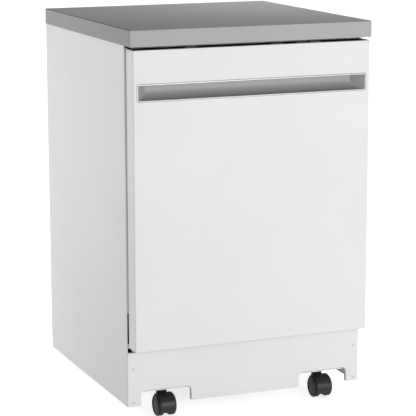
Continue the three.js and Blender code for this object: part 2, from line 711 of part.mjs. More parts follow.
// A wedge that slants one end of the scoop, seen from above.
function scoopEnd(side, half) {
  const back = DOOR_FACE + 2 * SCOOP_DEPTH;
  const shape = new THREE.Shape();
  shape.moveTo(side * half, DOOR_FACE);
  shape.lineTo(side * (half - 2 * SCOOP_SLOPE), back);
  shape.lineTo(side * WIDTH, back);
  shape.lineTo(side * WIDTH, DOOR_FACE);
  return prism('z', shape, 0, HEIGHT);
}

function scoop(grow) {
  const half = BEZEL_HALF - BEZEL_RIM + grow;
  return build([prism('x', scoopShape(grow), -half, half)], SIDES.map(([, side]) => scoopEnd(side, half)));
}

function addHandlePocket(group) {
  const bezel = roundedRect(-BEZEL_HALF, BEZEL_HALF, BEZEL_BOTTOM, BEZEL_TOP, BEZEL_CORNER);
  piece(group, 'handle_pocket', SILVER_PLASTIC,
    [prism('y', bezel, DOOR_FACE - BEZEL_PROUD, DOOR_FACE), scoop(SCOOP_WALL)], [scoop(0)]);
}

function addConsole(group) {
  const x = DOOR_X - SHEET - GAP;
  const front = DOOR_FACE + SHEET + GAP;
  const back = DOOR_BACK - GAP;
  const roof = DOOR_TOP - CONSOLE_WALL;
  const earNear = TONGUE_HALF + LATCH_SIDE_GAP;
  const joined = [build(
    [block(-x, x, front, back, CONSOLE_BOTTOM, DOOR_TOP)],
    [block(-x + CONSOLE_WALL, x - CONSOLE_WALL, front + CONSOLE_WALL, back - CONSOLE_WALL,
      CONSOLE_BOTTOM - SHEET, roof)],
  )];
  const earBottom = LATCH_Z - LATCH_PIN_R - LATCH_EAR;
  const earHalf = LATCH_EAR + LATCH_PIN_R;
  for (const [, side] of SIDES) {
    joined.push(sideBlock(side, earNear, earNear + LATCH_EAR, LATCH_PIVOT_Y - earHalf,
      LATCH_PIVOT_Y + earHalf, earBottom, roof + SHEET));
  }
  const cut = [
    bar('x', LATCH_PIN_R + LATCH_PIN_FIT, -earNear - 2 * LATCH_EAR, earNear + 2 * LATCH_EAR,
      LATCH_PIVOT_Y, LATCH_Z, PIN_FACETS),
    block(-earNear, earNear, back - 2 * CONSOLE_WALL, back + SHEET, CONSOLE_BOTTOM - SHEET, roof),
    ...BUTTON_XS.map((buttonX) => buttonBlock(buttonX, GAP, CONSOLE_BOTTOM, HEIGHT)),
  ];
  piece(group, 'control_console', BLACK_PLASTIC, joined, cut);
}

function buttonBlock(x, grow, low, high) {
  const halfX = BUTTON_LENGTH / 2 + grow;
  const halfY = BUTTON_WIDTH / 2 + grow;
  return block(x - halfX, x + halfX, BUTTON_Y - halfY, BUTTON_Y + halfY, low, high);
}

function addButtons(group) {
  const names = ['start_button', 'cycle_button', 'option_button', 'power_button'];
  const top = DOOR_TOP + BUTTON_PROUD;
  for (const [index, x] of BUTTON_XS.entries()) {
    piece(group, names[index], GREY_PLASTIC, [buttonBlock(x, 0, top - BUTTON_HEIGHT, top)]);
  }
}

function addLatch(group) {
  const pinEnd = TONGUE_HALF + LATCH_SIDE_GAP + LATCH_EAR;
  const tip = LATCH_PIVOT_Y + TONGUE_REACH;
  const half = TONGUE_THICK / 2;
  piece(group, 'latch_hook', ZINC_STEEL, [
    block(-TONGUE_HALF, TONGUE_HALF, LATCH_PIVOT_Y, tip, LATCH_Z - half, LATCH_Z + half),
    bar('x', half, -TONGUE_HALF, TONGUE_HALF, LATCH_PIVOT_Y, LATCH_Z, TUBE_FACETS),
    bar('x', LATCH_PIN_R, -pinEnd, pinEnd, LATCH_PIVOT_Y, LATCH_Z, PIN_FACETS),
  ]);
}

function addLatchStrike(group) {
  const near = TONGUE_HALF + KEEPER_SIDE_GAP;
  const far = near + KEEPER_WALL;
  const front = FRONT_Y + KEEPER_BACK;
  piece(group, 'latch_strike', ZINC_STEEL, [
    block(-far, far, front, front + KEEPER_DEPTH, TUB_TOP, TUB_TOP + KEEPER_HEIGHT),
  ], [
    block(-near, near, front - SHEET, front + KEEPER_DEPTH + SHEET, TUB_TOP - SHEET,
      TUB_TOP + KEEPER_HEIGHT - KEEPER_TOP_WALL),
  ]);
}

// ---------------------------------------------------------------- hinges
function pivotPoint(back, up) {
  return [PIVOT_Y + back, PIVOT_Z + up];
}

function addHingeArm(group, name, side) {
  const far = ARM_X + ARM_THICK;
  const shapes = [
    link(pivotPoint(0, 0), pivotPoint(0, ARM_NECK), HUB_R),
    link(pivotPoint(0, ARM_NECK), pivotPoint(-ARM_NECK, 3 * ARM_NECK), HUB_R),
    link(pivotPoint(0, 0), pivotPoint(ARM_TAIL, -ARM_TAIL), HUB_R),
  ];
  const back = DOOR_BACK - INNER_PANEL - GAP;
  const joined = shapes.map((shape) => sidePrism(side, shape, ARM_X, far));
  joined.push(sideBlock(side, ARM_X, far, back - ARM_PLATE_DEPTH, back,
    PIVOT_Z + ARM_PLATE_BOTTOM, PIVOT_Z + ARM_PLATE_TOP));
  joined.push(sideBar(side, SPRING_PIN_R, SPRING_X - SPRING_R, far,
    ...pivotPoint(ARM_TAIL, -ARM_TAIL), PIN_FACETS));
  piece(group, `${name}_hinge_arm`, ZINC_STEEL, joined,
    [sideBar(side, PIN_R + PIN_FIT, ARM_X - SHEET, far + SHEET, PIVOT_Y, PIVOT_Z)]);
}

function addHingeBracket(group, name, side) {
  const far = BRACKET_X + BRACKET_THICK;
  const front = PIVOT_Y + BRACKET_THICK;
  const back = front + BRACKET_DEPTH;
  piece(group, `${name}_hinge_bracket`, ZINC_STEEL, [
    sideBar(side, HUB_R, BRACKET_X, far, PIVOT_Y, PIVOT_Z),
    sideBlock(side, BRACKET_X, far, PIVOT_Y, back, PIVOT_Z - HUB_R + SHEET, PIVOT_Z + HUB_R - SHEET),
    sideBlock(side, BRACKET_X, far, front, back, BASE_TOP, PIVOT_Z),
    sideBlock(side, BRACKET_X - BRACKET_FOOT, far, front, back, BASE_TOP, BASE_TOP + BRACKET_THICK),
    sideBar(side, PIN_R, BRACKET_X, ARM_X + ARM_THICK + SHEET, PIVOT_Y, PIVOT_Z),
  ]);
}

function addDoorSpring(group, name, side) {
  const [y, pinZ] = pivotPoint(ARM_TAIL, -ARM_TAIL);
  piece(group, `${name}_door_spring`, ZINC_STEEL, [
    bar('z', SPRING_R, BASE_TOP + GAP, pinZ - SPRING_PIN_R - GAP, side * SPRING_X, y, PIN_FACETS),
  ]);
}

// ---------------------------------------------------------------- tub
function addTub(group) {
  const flangeBack = FRONT_Y + TUB_WALL;
  const lowX = TUB_X + MOUTH_FLANGE_LOW;
  const slotTop = FLANGE_TOP - TUB_WALL;
  const slotX = TONGUE_HALF + LATCH_SLOT_GAP;
  const joined = [
    block(-TUB_X, TUB_X, FRONT_Y, TUB_BACK, TUB_BOTTOM, TUB_TOP),
    block(-FLANGE_X, FLANGE_X, FRONT_Y, flangeBack, TUB_BOTTOM, FLANGE_TOP),
  ];
  const cut = [
    block(-MOUTH_X, MOUTH_X, flangeBack, TUB_BACK - TUB_WALL, TUB_FLOOR, MOUTH_TOP),
    block(-MOUTH_X, MOUTH_X, FRONT_Y - SHEET, flangeBack + SHEET, TUB_BOTTOM + MOUTH_SILL, MOUTH_TOP),
    block(-slotX, slotX, FRONT_Y - SHEET, flangeBack + SHEET, TUB_TOP + SHEET, slotTop),
    bar('z', SUMP_HOLE_R, TUB_BOTTOM - SHEET, TUB_FLOOR + SHEET, 0, WASH_Y, BOWL_FACETS),
    ...heaterLegs(HEATER_ROD_R + HEATER_FIT, TUB_BOTTOM - SHEET, TUB_FLOOR + SHEET),
  ];
  for (const [, side] of SIDES) {
    cut.push(sideBlock(side, lowX, SIDE_X, FRONT_Y - SHEET, flangeBack + SHEET,
      TUB_BOTTOM - SHEET, SLOT_TOP));
  }
  const shell = build(joined, cut);
  const ledges = SIDES.map(([, side]) => sideBlock(side, MOUTH_X - LEDGE_WIDTH, MOUTH_X + SHEET,
    -LEDGE_HALF, LEDGE_HALF, LEDGE_BOTTOM, LEDGE_TOP));
  piece(group, 'tub', STAINLESS, [shell, ...ledges]);
}

function addGasket(group) {
  const inner = MOUTH_X + GASKET_INSET;
  const outer = inner + GASKET_WIDTH;
  const front = DOOR_BACK + GAP;
  const slotX = TONGUE_HALF + LATCH_SLOT_GAP;
  piece(group, 'tub_gasket', RUBBER, [
    block(-outer, outer, front, FRONT_Y, GASKET_BOTTOM, TUB_TOP + GASKET_WIDTH),
  ], [
    block(-inner, inner, front - SHEET, FRONT_Y + SHEET, GASKET_BOTTOM - SHEET, TUB_TOP),
    block(-slotX, slotX, front - SHEET, FRONT_Y + SHEET, TUB_TOP + GASKET_BRIDGE, FLANGE_TOP),
  ]);
}

// ---------------------------------------------------------------- wash system
function addSump(group) {
  const flangeLow = TUB_BOTTOM - SUMP_WALL;
  const innerR = SUMP_R - SUMP_WALL;
  const bowl = build([
    bar('z', SUMP_R, SUMP_BOTTOM, TUB_BOTTOM, 0, WASH_Y, BOWL_FACETS),
    bar('z', SUMP_FLANGE_R, flangeLow, TUB_BOTTOM, 0, WASH_Y, BOWL_FACETS),
    bar('x', PORT_R, 0, PORT_X, WASH_Y, PORT_Z, TUBE_FACETS),
    bar('x', DRAIN_PORT_R, -PORT_X, 0, WASH_Y, PORT_Z, TUBE_FACETS),
  ], [
    bar('z', innerR, SUMP_BOTTOM + SUMP_WALL, flangeLow, 0, WASH_Y, BOWL_FACETS),
    bar('x', PORT_BORE_R, innerR / 2, PORT_X + SHEET, WASH_Y, PORT_Z, TUBE_FACETS),
    bar('x', DRAIN_BORE_R, -PORT_X - SHEET, -innerR / 2, WASH_Y, PORT_Z, TUBE_FACETS),
    bar('z', FILTER_R + GAP, flangeLow - SHEET, TUB_BOTTOM + SHEET, FILTER_X, WASH_Y, DISC_FACETS),
  ]);
  piece(group, 'sump_housing', GREY_PLASTIC, [
    bowl,
    bar('z', TOWER_SHOULDER_R, SUMP_BOTTOM + SHEET, LOWER_ARM_Z - GAP, 0, WASH_Y),
    bar('z', TOWER_R, SUMP_BOTTOM + SHEET, TOWER_TOP, 0, WASH_Y),
  ]);
}

function addFilterCup(group) {
  const rimLow = TUB_BOTTOM + GAP;
  const rimHigh = rimLow + FILTER_RIM_THICK;
  const inside = FILTER_R - FILTER_WALL;
  piece(group, 'filter_cup', GREY_PLASTIC, [
    build([
      bar('z', FILTER_R - GAP, FILTER_BOTTOM, rimHigh, FILTER_X, WASH_Y, DISC_FACETS),
      bar('z', FILTER_RIM_R, rimLow, rimHigh, FILTER_X, WASH_Y, DISC_FACETS),
    ], [
      bar('z', inside, FILTER_BOTTOM + FILTER_WALL, rimHigh + SHEET, FILTER_X, WASH_Y, DISC_FACETS),
    ]),
    block(FILTER_X - FILTER_R, FILTER_X + FILTER_R, WASH_Y - FILTER_GRIP_HALF, WASH_Y + FILTER_GRIP_HALF,
      rimLow, rimHigh + FILTER_GRIP_HEIGHT),
  ]);
}

function addPumps(group) {
  piece(group, 'circulation_pump', BLACK_PLASTIC, [
    bar('x', PUMP_HEAD_R, PORT_X, PORT_X + PUMP_HEAD_LENGTH, WASH_Y, PORT_Z),
    bar('x', PUMP_MOTOR_R, PORT_X + PUMP_HEAD_LENGTH / 2, PORT_X + PUMP_LENGTH, WASH_Y, PORT_Z),
  ]);
  piece(group, 'drain_pump', BLACK_PLASTIC, [
    bar('x', DRAIN_HEAD_R, -PORT_X - DRAIN_HEAD_LENGTH, -PORT_X, WASH_Y, PORT_Z),
    bar('x', DRAIN_MOTOR_R, -PORT_X - DRAIN_LENGTH, -PORT_X - DRAIN_HEAD_LENGTH / 2, WASH_Y, PORT_Z),
  ]);
}

function heaterAngles() {
  const gap = THREE.MathUtils.degToRad(HEATER_GAP_DEG);
  return [Math.PI / 2 + gap / 2, 2.5 * Math.PI - gap / 2];
}

function heaterPoint(angle) {
  return [HEATER_R * Math.cos(angle), WASH_Y + HEATER_R * Math.sin(angle)];
}

function heaterLegs(radius, low, high) {
  return heaterAngles().map((angle) => bar('z', radius, low, high, ...heaterPoint(angle), PIN_FACETS));
}

function addHeater(group) {
  const [start, end] = heaterAngles();
  const path = new THREE.CatmullRomCurve3(Array.from({ length: HEATER_STEPS + 1 }, (_, index) => {
    const [x, y] = heaterPoint(start + (end - start) * index / HEATER_STEPS);
    return vec(x, y, HEATER_Z);
  }));
  const section = new THREE.Shape().absarc(0, 0, HEATER_ROD_R, 0, 2 * Math.PI);
  const ring = new THREE.ExtrudeGeometry(section, {
    steps: HEATER_STEPS, extrudePath: path, curveSegments: HEATER_SECTION_STEPS,
  });
  piece(group, 'heating_element', HEATER_SHEATH,
    [ring, ...heaterLegs(HEATER_ROD_R, TUB_BOTTOM - HEATER_LEG, HEATER_Z + SHEET)]);
}

function sprayArm(half, low, bore) {
  const width = SPRAY_ARM_WIDTH / 2;
  const tipR = width * SPRAY_TIP_RATIO;
  const outline = new THREE.Shape();
  outline.moveTo(0, -width);
  outline.lineTo(half - tipR, -tipR);
  outline.absarc(half - tipR, 0, tipR, -Math.PI / 2, Math.PI / 2);
  outline.lineTo(0, width);
  outline.absarc(-half + tipR, 0, tipR, Math.PI / 2, 1.5 * Math.PI);
  const arm = prism('z', outline, low, low + SPRAY_ARM_THICK).translate(0, WASH_Y, 0);
  return build([arm], [bar('z', bore, low - SHEET, low + SPRAY_ARM_THICK + SHEET, 0, WASH_Y)]);
}

function addLowerSprayArm(group) {
  piece(group, 'lower_spray_arm', GREY_PLASTIC,
    [sprayArm(LOWER_ARM_HALF, LOWER_ARM_Z, TOWER_R + HUB_FIT)]);
}

// The feed tube hangs under the upper rack's floor and carries the upper spray arm on its spigot.
function addUpperSpray(group) {
  const tubeZ = UPPER_RACK_LEVELS[0] - WIRE / 2 - GAP - FEED_R;
  const foot = UPPER_ARM_Z - GAP;
  piece(group, 'upper_feed_tube', GREY_PLASTIC, [
    bar('y', FEED_R, WASH_Y, UPPER_RACK_BACK + FEED_R, 0, tubeZ, TUBE_FACETS),
    bar('z', SPIGOT_R, foot - SPIGOT_FLANGE, tubeZ, 0, WASH_Y),
    bar('z', SPIGOT_R + SPIGOT_FLANGE, foot - SPIGOT_FLANGE, foot, 0, WASH_Y),
  ]);
  piece(group, 'upper_spray_arm', GREY_PLASTIC,
    [sprayArm(UPPER_ARM_HALF, UPPER_ARM_Z, SPIGOT_R + HUB_FIT)]);
}

function addInletValve(group) {
  piece(group, 'inlet_valve', CREAM_PLASTIC, [
    block(VALVE_X - VALVE_HALF_X, VALVE_X + VALVE_HALF_X, VALVE_Y - VALVE_HALF_Y, VALVE_Y + VALVE_HALF_Y,
      BASE_TOP, BASE_TOP + VALVE_HEIGHT),
    bar('z', VALVE_PORT_R, BASE_TOP + VALVE_HEIGHT / 2, BASE_TOP + VALVE_PORT_TOP, VALVE_X, VALVE_Y,
      TUBE_FACETS),
  ]);
}

// ---------------------------------------------------------------- racks
function wire(x0, x1, y0, y1, z0, z1) {
  const half = WIRE / 2;
  return block(x0 - half, x1 + half, y0 - half, y1 + half, z0 - half, z1 + half);
}

function spread(count, low, high) {
  return Array.from({ length: count }, (_, index) => low + (high - low) * (index + 1) / (count + 1));
}

function rackWires(front, back, levels) {
  const x = RACK_HALF;
  const [low, , high] = levels;
  const wires = [];
  for (const z of levels) {
    wires.push(wire(-x, x, front, front, z, z), wire(-x, x, back, back, z, z));
    wires.push(wire(-x, -x, front, back, z, z), wire(x, x, front, back, z, z));
  }
  for (const y of [front, back]) {
    for (const wireX of [-x, ...spread(WALL_WIRES, -x, x), x]) wires.push(wire(wireX, wireX, y, y, low, high));
  }
  for (const wireY of spread(WALL_WIRES, front, back)) {
    wires.push(wire(-x, -x, wireY, wireY, low, high), wire(x, x, wireY, wireY, low, high));
  }
  for (const wireX of spread(FLOOR_WIRES, -x, x)) wires.push(wire(wireX, wireX, front, back, low, low));
  for (const wireY of spread(CROSS_WIRES, front, back)) wires.push(wire(-x, x, wireY, wireY, low, low));
  return wires;
}

// Rollers stand outside the rack on short axles, each under a lug on the rack's side.
function rollers(radius, surface, lugTop) {
  const z = surface + GAP + radius;
  return SIDES.flatMap(([, side]) => ROLLER_YS.flatMap((y) => [
    sideBlock(side, RACK_HALF - WIRE / 2, RACK_HALF + WIRE / 2, y - WIRE, y + WIRE, z - WIRE, lugTop),
    sideBar(side, WIRE / 2, RACK_HALF, ROLLER_X + ROLLER_WIDTH / 2, y, z, PIN_FACETS),
    sideBar(side, radius, ROLLER_X, ROLLER_X + ROLLER_WIDTH, y, z, TUBE_FACETS),
  ]));
}

function addLowerRack(group) {
  const [low] = LOWER_RACK_LEVELS;
  const tines = TINE_ROWS.flatMap((x) => spread(TINES, LOWER_RACK_FRONT, LOWER_RACK_BACK)
    .map((y) => wire(x, x, y, y, low, TINE_TOP)));
  const rowWires = TINE_ROWS.map((x) => wire(x, x, LOWER_RACK_FRONT, LOWER_RACK_BACK, low, low));
  piece(group, 'lower_rack', RACK_COAT, [
    ...rackWires(LOWER_RACK_FRONT, LOWER_RACK_BACK, LOWER_RACK_LEVELS),
    ...rowWires,
    ...tines,
    ...rollers(LOWER_ROLLER_R, LEDGE_TOP, low + WIRE),
  ]);
}

function addUpperRack(group) {
  piece(group, 'upper_rack', RACK_COAT, [
    ...rackWires(UPPER_RACK_FRONT, UPPER_RACK_BACK, UPPER_RACK_LEVELS),
    ...rollers(UPPER_ROLLER_R, RAIL_Z, UPPER_RACK_LEVELS[1]),
  ]);
}

function addUpperRail(group, name, side) {
  const low = RAIL_Z - RAIL_LIP_THICK;
  const high = low + RAIL_HEIGHT;
  const lip = MOUTH_X - RAIL_LIP;
  piece(group, `${name}_upper_rail`, STAINLESS, [
    sideBlock(side, MOUTH_X - RAIL_WEB, MOUTH_X, -RAIL_HALF, RAIL_HALF, low, high),
    sideBlock(side, lip, MOUTH_X, -RAIL_HALF, RAIL_HALF, low, RAIL_Z),
    sideBlock(side, lip, MOUTH_X, -RAIL_HALF, RAIL_HALF, high - RAIL_WEB, high),
  ]);
}

function addBasket(group) {
  const low = LOWER_RACK_LEVELS[0] + WIRE / 2 + GAP;
  const high = low + BASKET_HEIGHT;
  const x0 = BASKET_X - BASKET_HALF_X;
  const x1 = BASKET_X + BASKET_HALF_X;
  const cell = (2 * BASKET_HALF_Y - BASKET_WALL) / BASKET_CELLS;
  const cut = Array.from({ length: BASKET_CELLS }, (_, index) => {
    const y0 = -BASKET_HALF_Y + BASKET_WALL + index * cell;
    return block(x0 + BASKET_WALL, x1 - BASKET_WALL, y0, y0 + cell - BASKET_WALL, low + BASKET_WALL,
      high + SHEET);
  });
  const shell = build([block(x0, x1, -BASKET_HALF_Y, BASKET_HALF_Y, low, high)], cut);
  const grip = high + BASKET_HANDLE;
  const divider = -BASKET_HALF_Y + cell;
  const handleBar = BASKET_WALL * 2;
  piece(group, 'cutlery_basket', GREY_PLASTIC, [
    shell,
    block(BASKET_X - handleBar, BASKET_X + handleBar, divider, divider + BASKET_WALL, high - SHEET, grip),
    block(BASKET_X - handleBar, BASKET_X + handleBar, -divider - BASKET_WALL, -divider, high - SHEET, grip),
    block(BASKET_X - handleBar, BASKET_X + handleBar, divider, -divider, grip - handleBar, grip),
  ]);
}

// ---------------------------------------------------------------- detergent dispenser
const DISPENSER_FACE = DOOR_BACK + DISPENSER_PROUD;
const LID_FACE = DISPENSER_FACE + GAP;
const LID_Y = LID_FACE + LID_THICK / 2;
const LID_Z = DISPENSER_Z - LID_HINGE_DROP;
const LID_HALF_X = CUP_HALF_X + LID_MARGIN;

function addDispenser(group) {
  const ear = LID_HALF_X + GAP;
  const pinHole = ear + LID_EAR + SHEET;
  const joined = [
    block(-DISPENSER_HALF_X, DISPENSER_HALF_X, DOOR_BACK, DISPENSER_FACE,
      DISPENSER_Z - DISPENSER_HALF_Z, DISPENSER_Z + DISPENSER_HALF_Z),
    block(-WELL_HALF_X, WELL_HALF_X, DOOR_BACK - DISPENSER_DEPTH, DISPENSER_FACE,
      DISPENSER_Z - WELL_HALF_Z, DISPENSER_Z + WELL_HALF_Z),
  ];
  for (const [, side] of SIDES) {
    joined.push(block(CUP_X + side * ear, CUP_X + side * (ear + LID_EAR), DOOR_BACK, LID_FACE + LID_THICK,
      LID_Z - LID_EAR, LID_Z + LID_EAR));
  }
  piece(group, 'detergent_dispenser', GREY_PLASTIC, joined, [
    block(CUP_X - CUP_HALF_X, CUP_X + CUP_HALF_X, DISPENSER_FACE - CUP_DEPTH, DISPENSER_FACE + SHEET,
      DISPENSER_Z - CUP_HALF_Z, DISPENSER_Z + CUP_HALF_Z),
    bar('x', LID_PIN_R + LID_PIN_FIT, CUP_X - pinHole, CUP_X + pinHole, LID_Y, LID_Z, PIN_FACETS),
    bar('y', CAP_STEM_R + CAP_STEM_FIT, DISPENSER_FACE - CUP_DEPTH, DISPENSER_FACE + SHEET, CAP_X, DISPENSER_Z),
  ]);
}

function addDispenserLid(group) {
  const top = DISPENSER_Z + CUP_HALF_Z + LID_MARGIN;
  const pinEnd = LID_HALF_X + LID_EAR;
  piece(group, 'dispenser_lid', GREY_PLASTIC, [
    block(CUP_X - LID_HALF_X, CUP_X + LID_HALF_X, LID_FACE, LID_FACE + LID_THICK, LID_Z, top),
    bar('x', LID_THICK / 2, CUP_X - LID_HALF_X, CUP_X + LID_HALF_X, LID_Y, LID_Z, PIN_FACETS),
    bar('x', LID_PIN_R, CUP_X - pinEnd, CUP_X + pinEnd, LID_Y, LID_Z, PIN_FACETS),
  ]);
}

function addRinseAidCap(group) {
  const top = LID_FACE + CAP_THICK;
  piece(group, 'rinse_aid_cap', BLACK_PLASTIC, [
    bar('y', CAP_R, LID_FACE, top, CAP_X, DISPENSER_Z),
    bar('y', CAP_STEM_R, DISPENSER_FACE - CAP_STEM_LENGTH, top, CAP_X, DISPENSER_Z, TUBE_FACETS),
    block(CAP_X - CAP_GRIP_REACH, CAP_X + CAP_GRIP_REACH, top - SHEET, top + CAP_GRIP_HEIGHT,
      DISPENSER_Z - CAP_GRIP_HALF, DISPENSER_Z + CAP_GRIP_HALF),
  ]);
}

// ---------------------------------------------------------------- assembly
const dishwasher = new THREE.Group();

const cabinet = new THREE.Group();
addWorktop(cabinet);
for (const [name, side] of SIDES) addSidePanel(cabinet, name, side);
addRearPanel(cabinet);
addRearFittings(cabinet);
addKickPlate(cabinet);
addKickScrews(cabinet);
addBaseFrame(cabinet);
addTub(cabinet);
addGasket(cabinet);
addLatchStrike(cabinet);
for (const [name, side] of SIDES) {
  addUpperRail(cabinet, name, side);
  addHingeBracket(cabinet, name, side);
  addDoorSpring(cabinet, name, side);
}

const washSystem = new THREE.Group();
addSump(washSystem);
addFilterCup(washSystem);
addPumps(washSystem);
addHeater(washSystem);
addInletValve(washSystem);
addLowerSprayArm(washSystem);
addUpperSpray(washSystem);

const racks = new THREE.Group();
addLowerRack(racks);
addUpperRack(racks);
addBasket(racks);

const door = new THREE.Group();
addDoorOuterPanel(door);
addDoorInnerPanel(door);
addHandlePocket(door);
addConsole(door);
addButtons(door);
addLatch(door);
for (const [name, side] of SIDES) addHingeArm(door, name, side);
addDispenser(door);
addDispenserLid(door);
addRinseAidCap(door);

const running = new THREE.Group();
addCasters(running);

dishwasher.add(cabinet, washSystem, racks, door, running);
export default dishwasher;
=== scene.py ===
"""Looks of a portable dishwasher on casters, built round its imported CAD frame.

Shapes are drawn in millimetres in the frame's axes and scaled to metres when a piece is made.
Their places come from the boxes of the CAD nodes that they stand for.
"""

import math
from collections import namedtuple

import bmesh
import bpy
from mathutils import Matrix, Vector


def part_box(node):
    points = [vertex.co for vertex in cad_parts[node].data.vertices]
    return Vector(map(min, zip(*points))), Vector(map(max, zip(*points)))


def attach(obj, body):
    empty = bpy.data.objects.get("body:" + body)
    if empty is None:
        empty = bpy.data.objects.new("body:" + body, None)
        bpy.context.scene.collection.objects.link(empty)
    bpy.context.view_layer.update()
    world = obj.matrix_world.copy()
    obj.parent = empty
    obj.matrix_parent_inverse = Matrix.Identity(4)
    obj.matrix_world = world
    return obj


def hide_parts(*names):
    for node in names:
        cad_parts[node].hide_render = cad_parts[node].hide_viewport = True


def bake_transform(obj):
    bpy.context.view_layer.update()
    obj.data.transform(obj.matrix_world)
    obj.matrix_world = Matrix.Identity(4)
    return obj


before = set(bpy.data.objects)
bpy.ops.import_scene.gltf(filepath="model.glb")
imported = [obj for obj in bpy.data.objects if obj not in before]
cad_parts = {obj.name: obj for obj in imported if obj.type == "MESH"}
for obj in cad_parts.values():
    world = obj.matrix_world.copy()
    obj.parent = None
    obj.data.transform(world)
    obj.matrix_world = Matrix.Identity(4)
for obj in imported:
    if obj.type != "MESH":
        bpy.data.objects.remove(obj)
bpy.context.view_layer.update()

MM = 0.001
TAU = 2 * math.pi
SIDES = (("left", -1), ("right", 1))

# ---------------------------------------------------------------- camera and light
CAMERA_PLACE = (-1.7230, -4.2723, 1.3368)
CAMERA_YAW = 22.127  # degrees to the right of +Y
CAMERA_PITCH = -10.979
CAMERA_ROLL = -0.143
LENS = 160.997
SENSOR = 36
SKY_LOW, SKY_HIGH = 0.72, 0.42  # strength at eye level and overhead
SKY_TOP = 0.9  # height, as the ray's Z, from which it stays at its overhead strength
LAMPS = (  # name, place, target, size, power
    ("front_light", (0.9, -3.6, 0.8), (0.1, -0.3, 0.5), (2.2, 1.5), 55),
    ("rear_left_light", (-1.6, 2.1, 0.65), (-0.3, 0.2, 0.6), (0.8, 1.4), 22),
    ("top_light", (0.42, 0.38, 1.83), (0.42, 0.38, 0.93), (0.3, 0.3), 9),
)
FLOOR_HALF = 60.0
FLOOR_GLOW = 0.70  # what the camera sees of the floor on top of its own shading

# ---------------------------------------------------------------- sizes of what the frame doesn't show
SHEET = 1.0  # steel sheet
FOLD = 2.2  # outer radius of the cabinet's folds
HAIR = 0.3  # clearance between separate pieces
WASH_Y = 6.0  # the axis of the sump and the spray arms


class Box(namedtuple("Box", "x0 y0 z0 x1 y1 z1")):
    """A box in millimetres. Its middle is x, y and z."""
    x = property(lambda box: (box.x0 + box.x1) / 2)
    y = property(lambda box: (box.y0 + box.y1) / 2)
    z = property(lambda box: (box.z0 + box.z1) / 2)


def node_box(name):
    """A CAD node's box at rest."""
    low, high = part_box(name)
    return Box(*(round(v / MM, 3) for v in (*low, *high)))


# ---------------------------------------------------------------- materials
def put(tree, socket, value):
    if isinstance(value, bpy.types.NodeSocket):
        tree.links.new(value, socket)
    else:
        socket.default_value = value


def add_node(tree, kind, out, inputs, **settings):
    """Adds a shader node with its settings and inputs, and returns one of its outputs."""
    node = tree.nodes.new("ShaderNode" + kind)
    for key, value in settings.items():
        setattr(node, key, value)
    for key, value in inputs.items():
        put(tree, node.inputs[key], value)
    return node.outputs[out]


def principled(name, roughness, specular, metallic=0.0):
    """A new material, its node tree and its shader's inputs."""
    material = bpy.data.materials.new(name)
    material.use_nodes = True
    shader = material.node_tree.nodes["Principled BSDF"].inputs
    shader["Roughness"].default_value = roughness
    shader["Specular IOR Level"].default_value = specular
    shader["Metallic"].default_value = metallic
    return material, material.node_tree, shader


def grey(value, tint=0.0):
    """A grey, a little bluer where tint is above 0."""
    return (value, value * (1 + tint / 3), value * (1 + tint))


class Look:
    """A procedural material. Most calls add a node and return the socket that comes out of it."""

    def __init__(self, name, metallic=0.0, specular=0.5, roughness=0.4):
        self.material, self.tree, self.shader = principled(name, roughness, specular, metallic)
        self.place = self.tree.nodes.new("ShaderNodeTexCoord").outputs["Object"]

    def set(self, key, value):
        put(self.tree, self.shader[key], value)

    def noise(self, scale, detail=3.0, rough=0.5, place=None):
        inputs = {"Vector": place or self.place, "Scale": scale, "Detail": detail, "Roughness": rough}
        return add_node(self.tree, "TexNoise", "Fac", inputs)

    def cells(self, scale):
        """One random value for each Voronoi cell."""
        return add_node(self.tree, "TexVoronoi", "Color", {"Vector": self.place, "Scale": scale})

    def spread(self, value, low=0, high=1, start=0.3, end=0.7):
        """Maps a texture's value from start..end to low..high."""
        inputs = {"Value": value, "From Min": start, "From Max": end, "To Min": low, "To Max": high}
        return add_node(self.tree, "MapRange", "Result", inputs)

    def blend(self, factor, first, second):
        first, second = ((*v, 1) if isinstance(v, tuple) else v for v in (first, second))
        return add_node(self.tree, "Mix", "Result", {"Factor": factor, "A": first, "B": second},
                        data_type="RGBA")

    def tones(self, factor, base, dark, light, tint=0.0):
        return self.blend(factor, grey(base * dark, tint), grey(base * light, tint))

    def bump(self, height, depth, under=None):
        """Adds relief of that depth in metres, on top of the relief it is given."""
        inputs = {"Height": height, "Distance": depth, **({"Normal": under} if under else {})}
        normal = add_node(self.tree, "Bump", "Normal", inputs)
        self.set("Normal", normal)
        return normal

    def finish(self, color, gloss, relief, under=None):
        """Sets the colour, an uneven gloss (scale, low, high) and a relief (scale, detail, depth)."""
        self.set("Base Color", color)
        self.set("Roughness", self.spread(self.noise(gloss[0]), *gloss[1:]))
        self.bump(self.noise(*relief[:2]), relief[2], under)
        return self.material


def enamel(name, base, tint):
    look = Look(name, specular=0.06)
    peel = look.bump(look.noise(520.0, 1.0), 0.000018)
    color = look.tones(look.spread(look.noise(3.0, 2.0)), base, 0.985, 1.015, tint)
    return look.finish(color, (90.0, 0.4, 0.48), (14.0, 1.0, 0.00012), peel)  # sheet that isn't quite flat


def laminate(name, base):
    look = Look(name, specular=0.0)
    fine = look.tones(look.spread(look.cells(1600.0), 0, 1, 0.1, 0.9), base, 0.9, 1.1)
    broad = look.tones(look.spread(look.noise(7.0, 4.0)), base, 0.96, 1.04)
    return look.finish(look.blend(0.5, fine, broad), (400.0, 0.58, 0.7), (1400.0, 2.0, 0.00003))


def mottled(name, dark, light, mottle, gloss, relief, metallic=0.0, specular=0.5):
    """Two shades mixed by noise (scale, detail)."""
    look = Look(name, metallic, specular)
    return look.finish(look.blend(look.spread(look.noise(*mottle)), dark, light), gloss, relief)


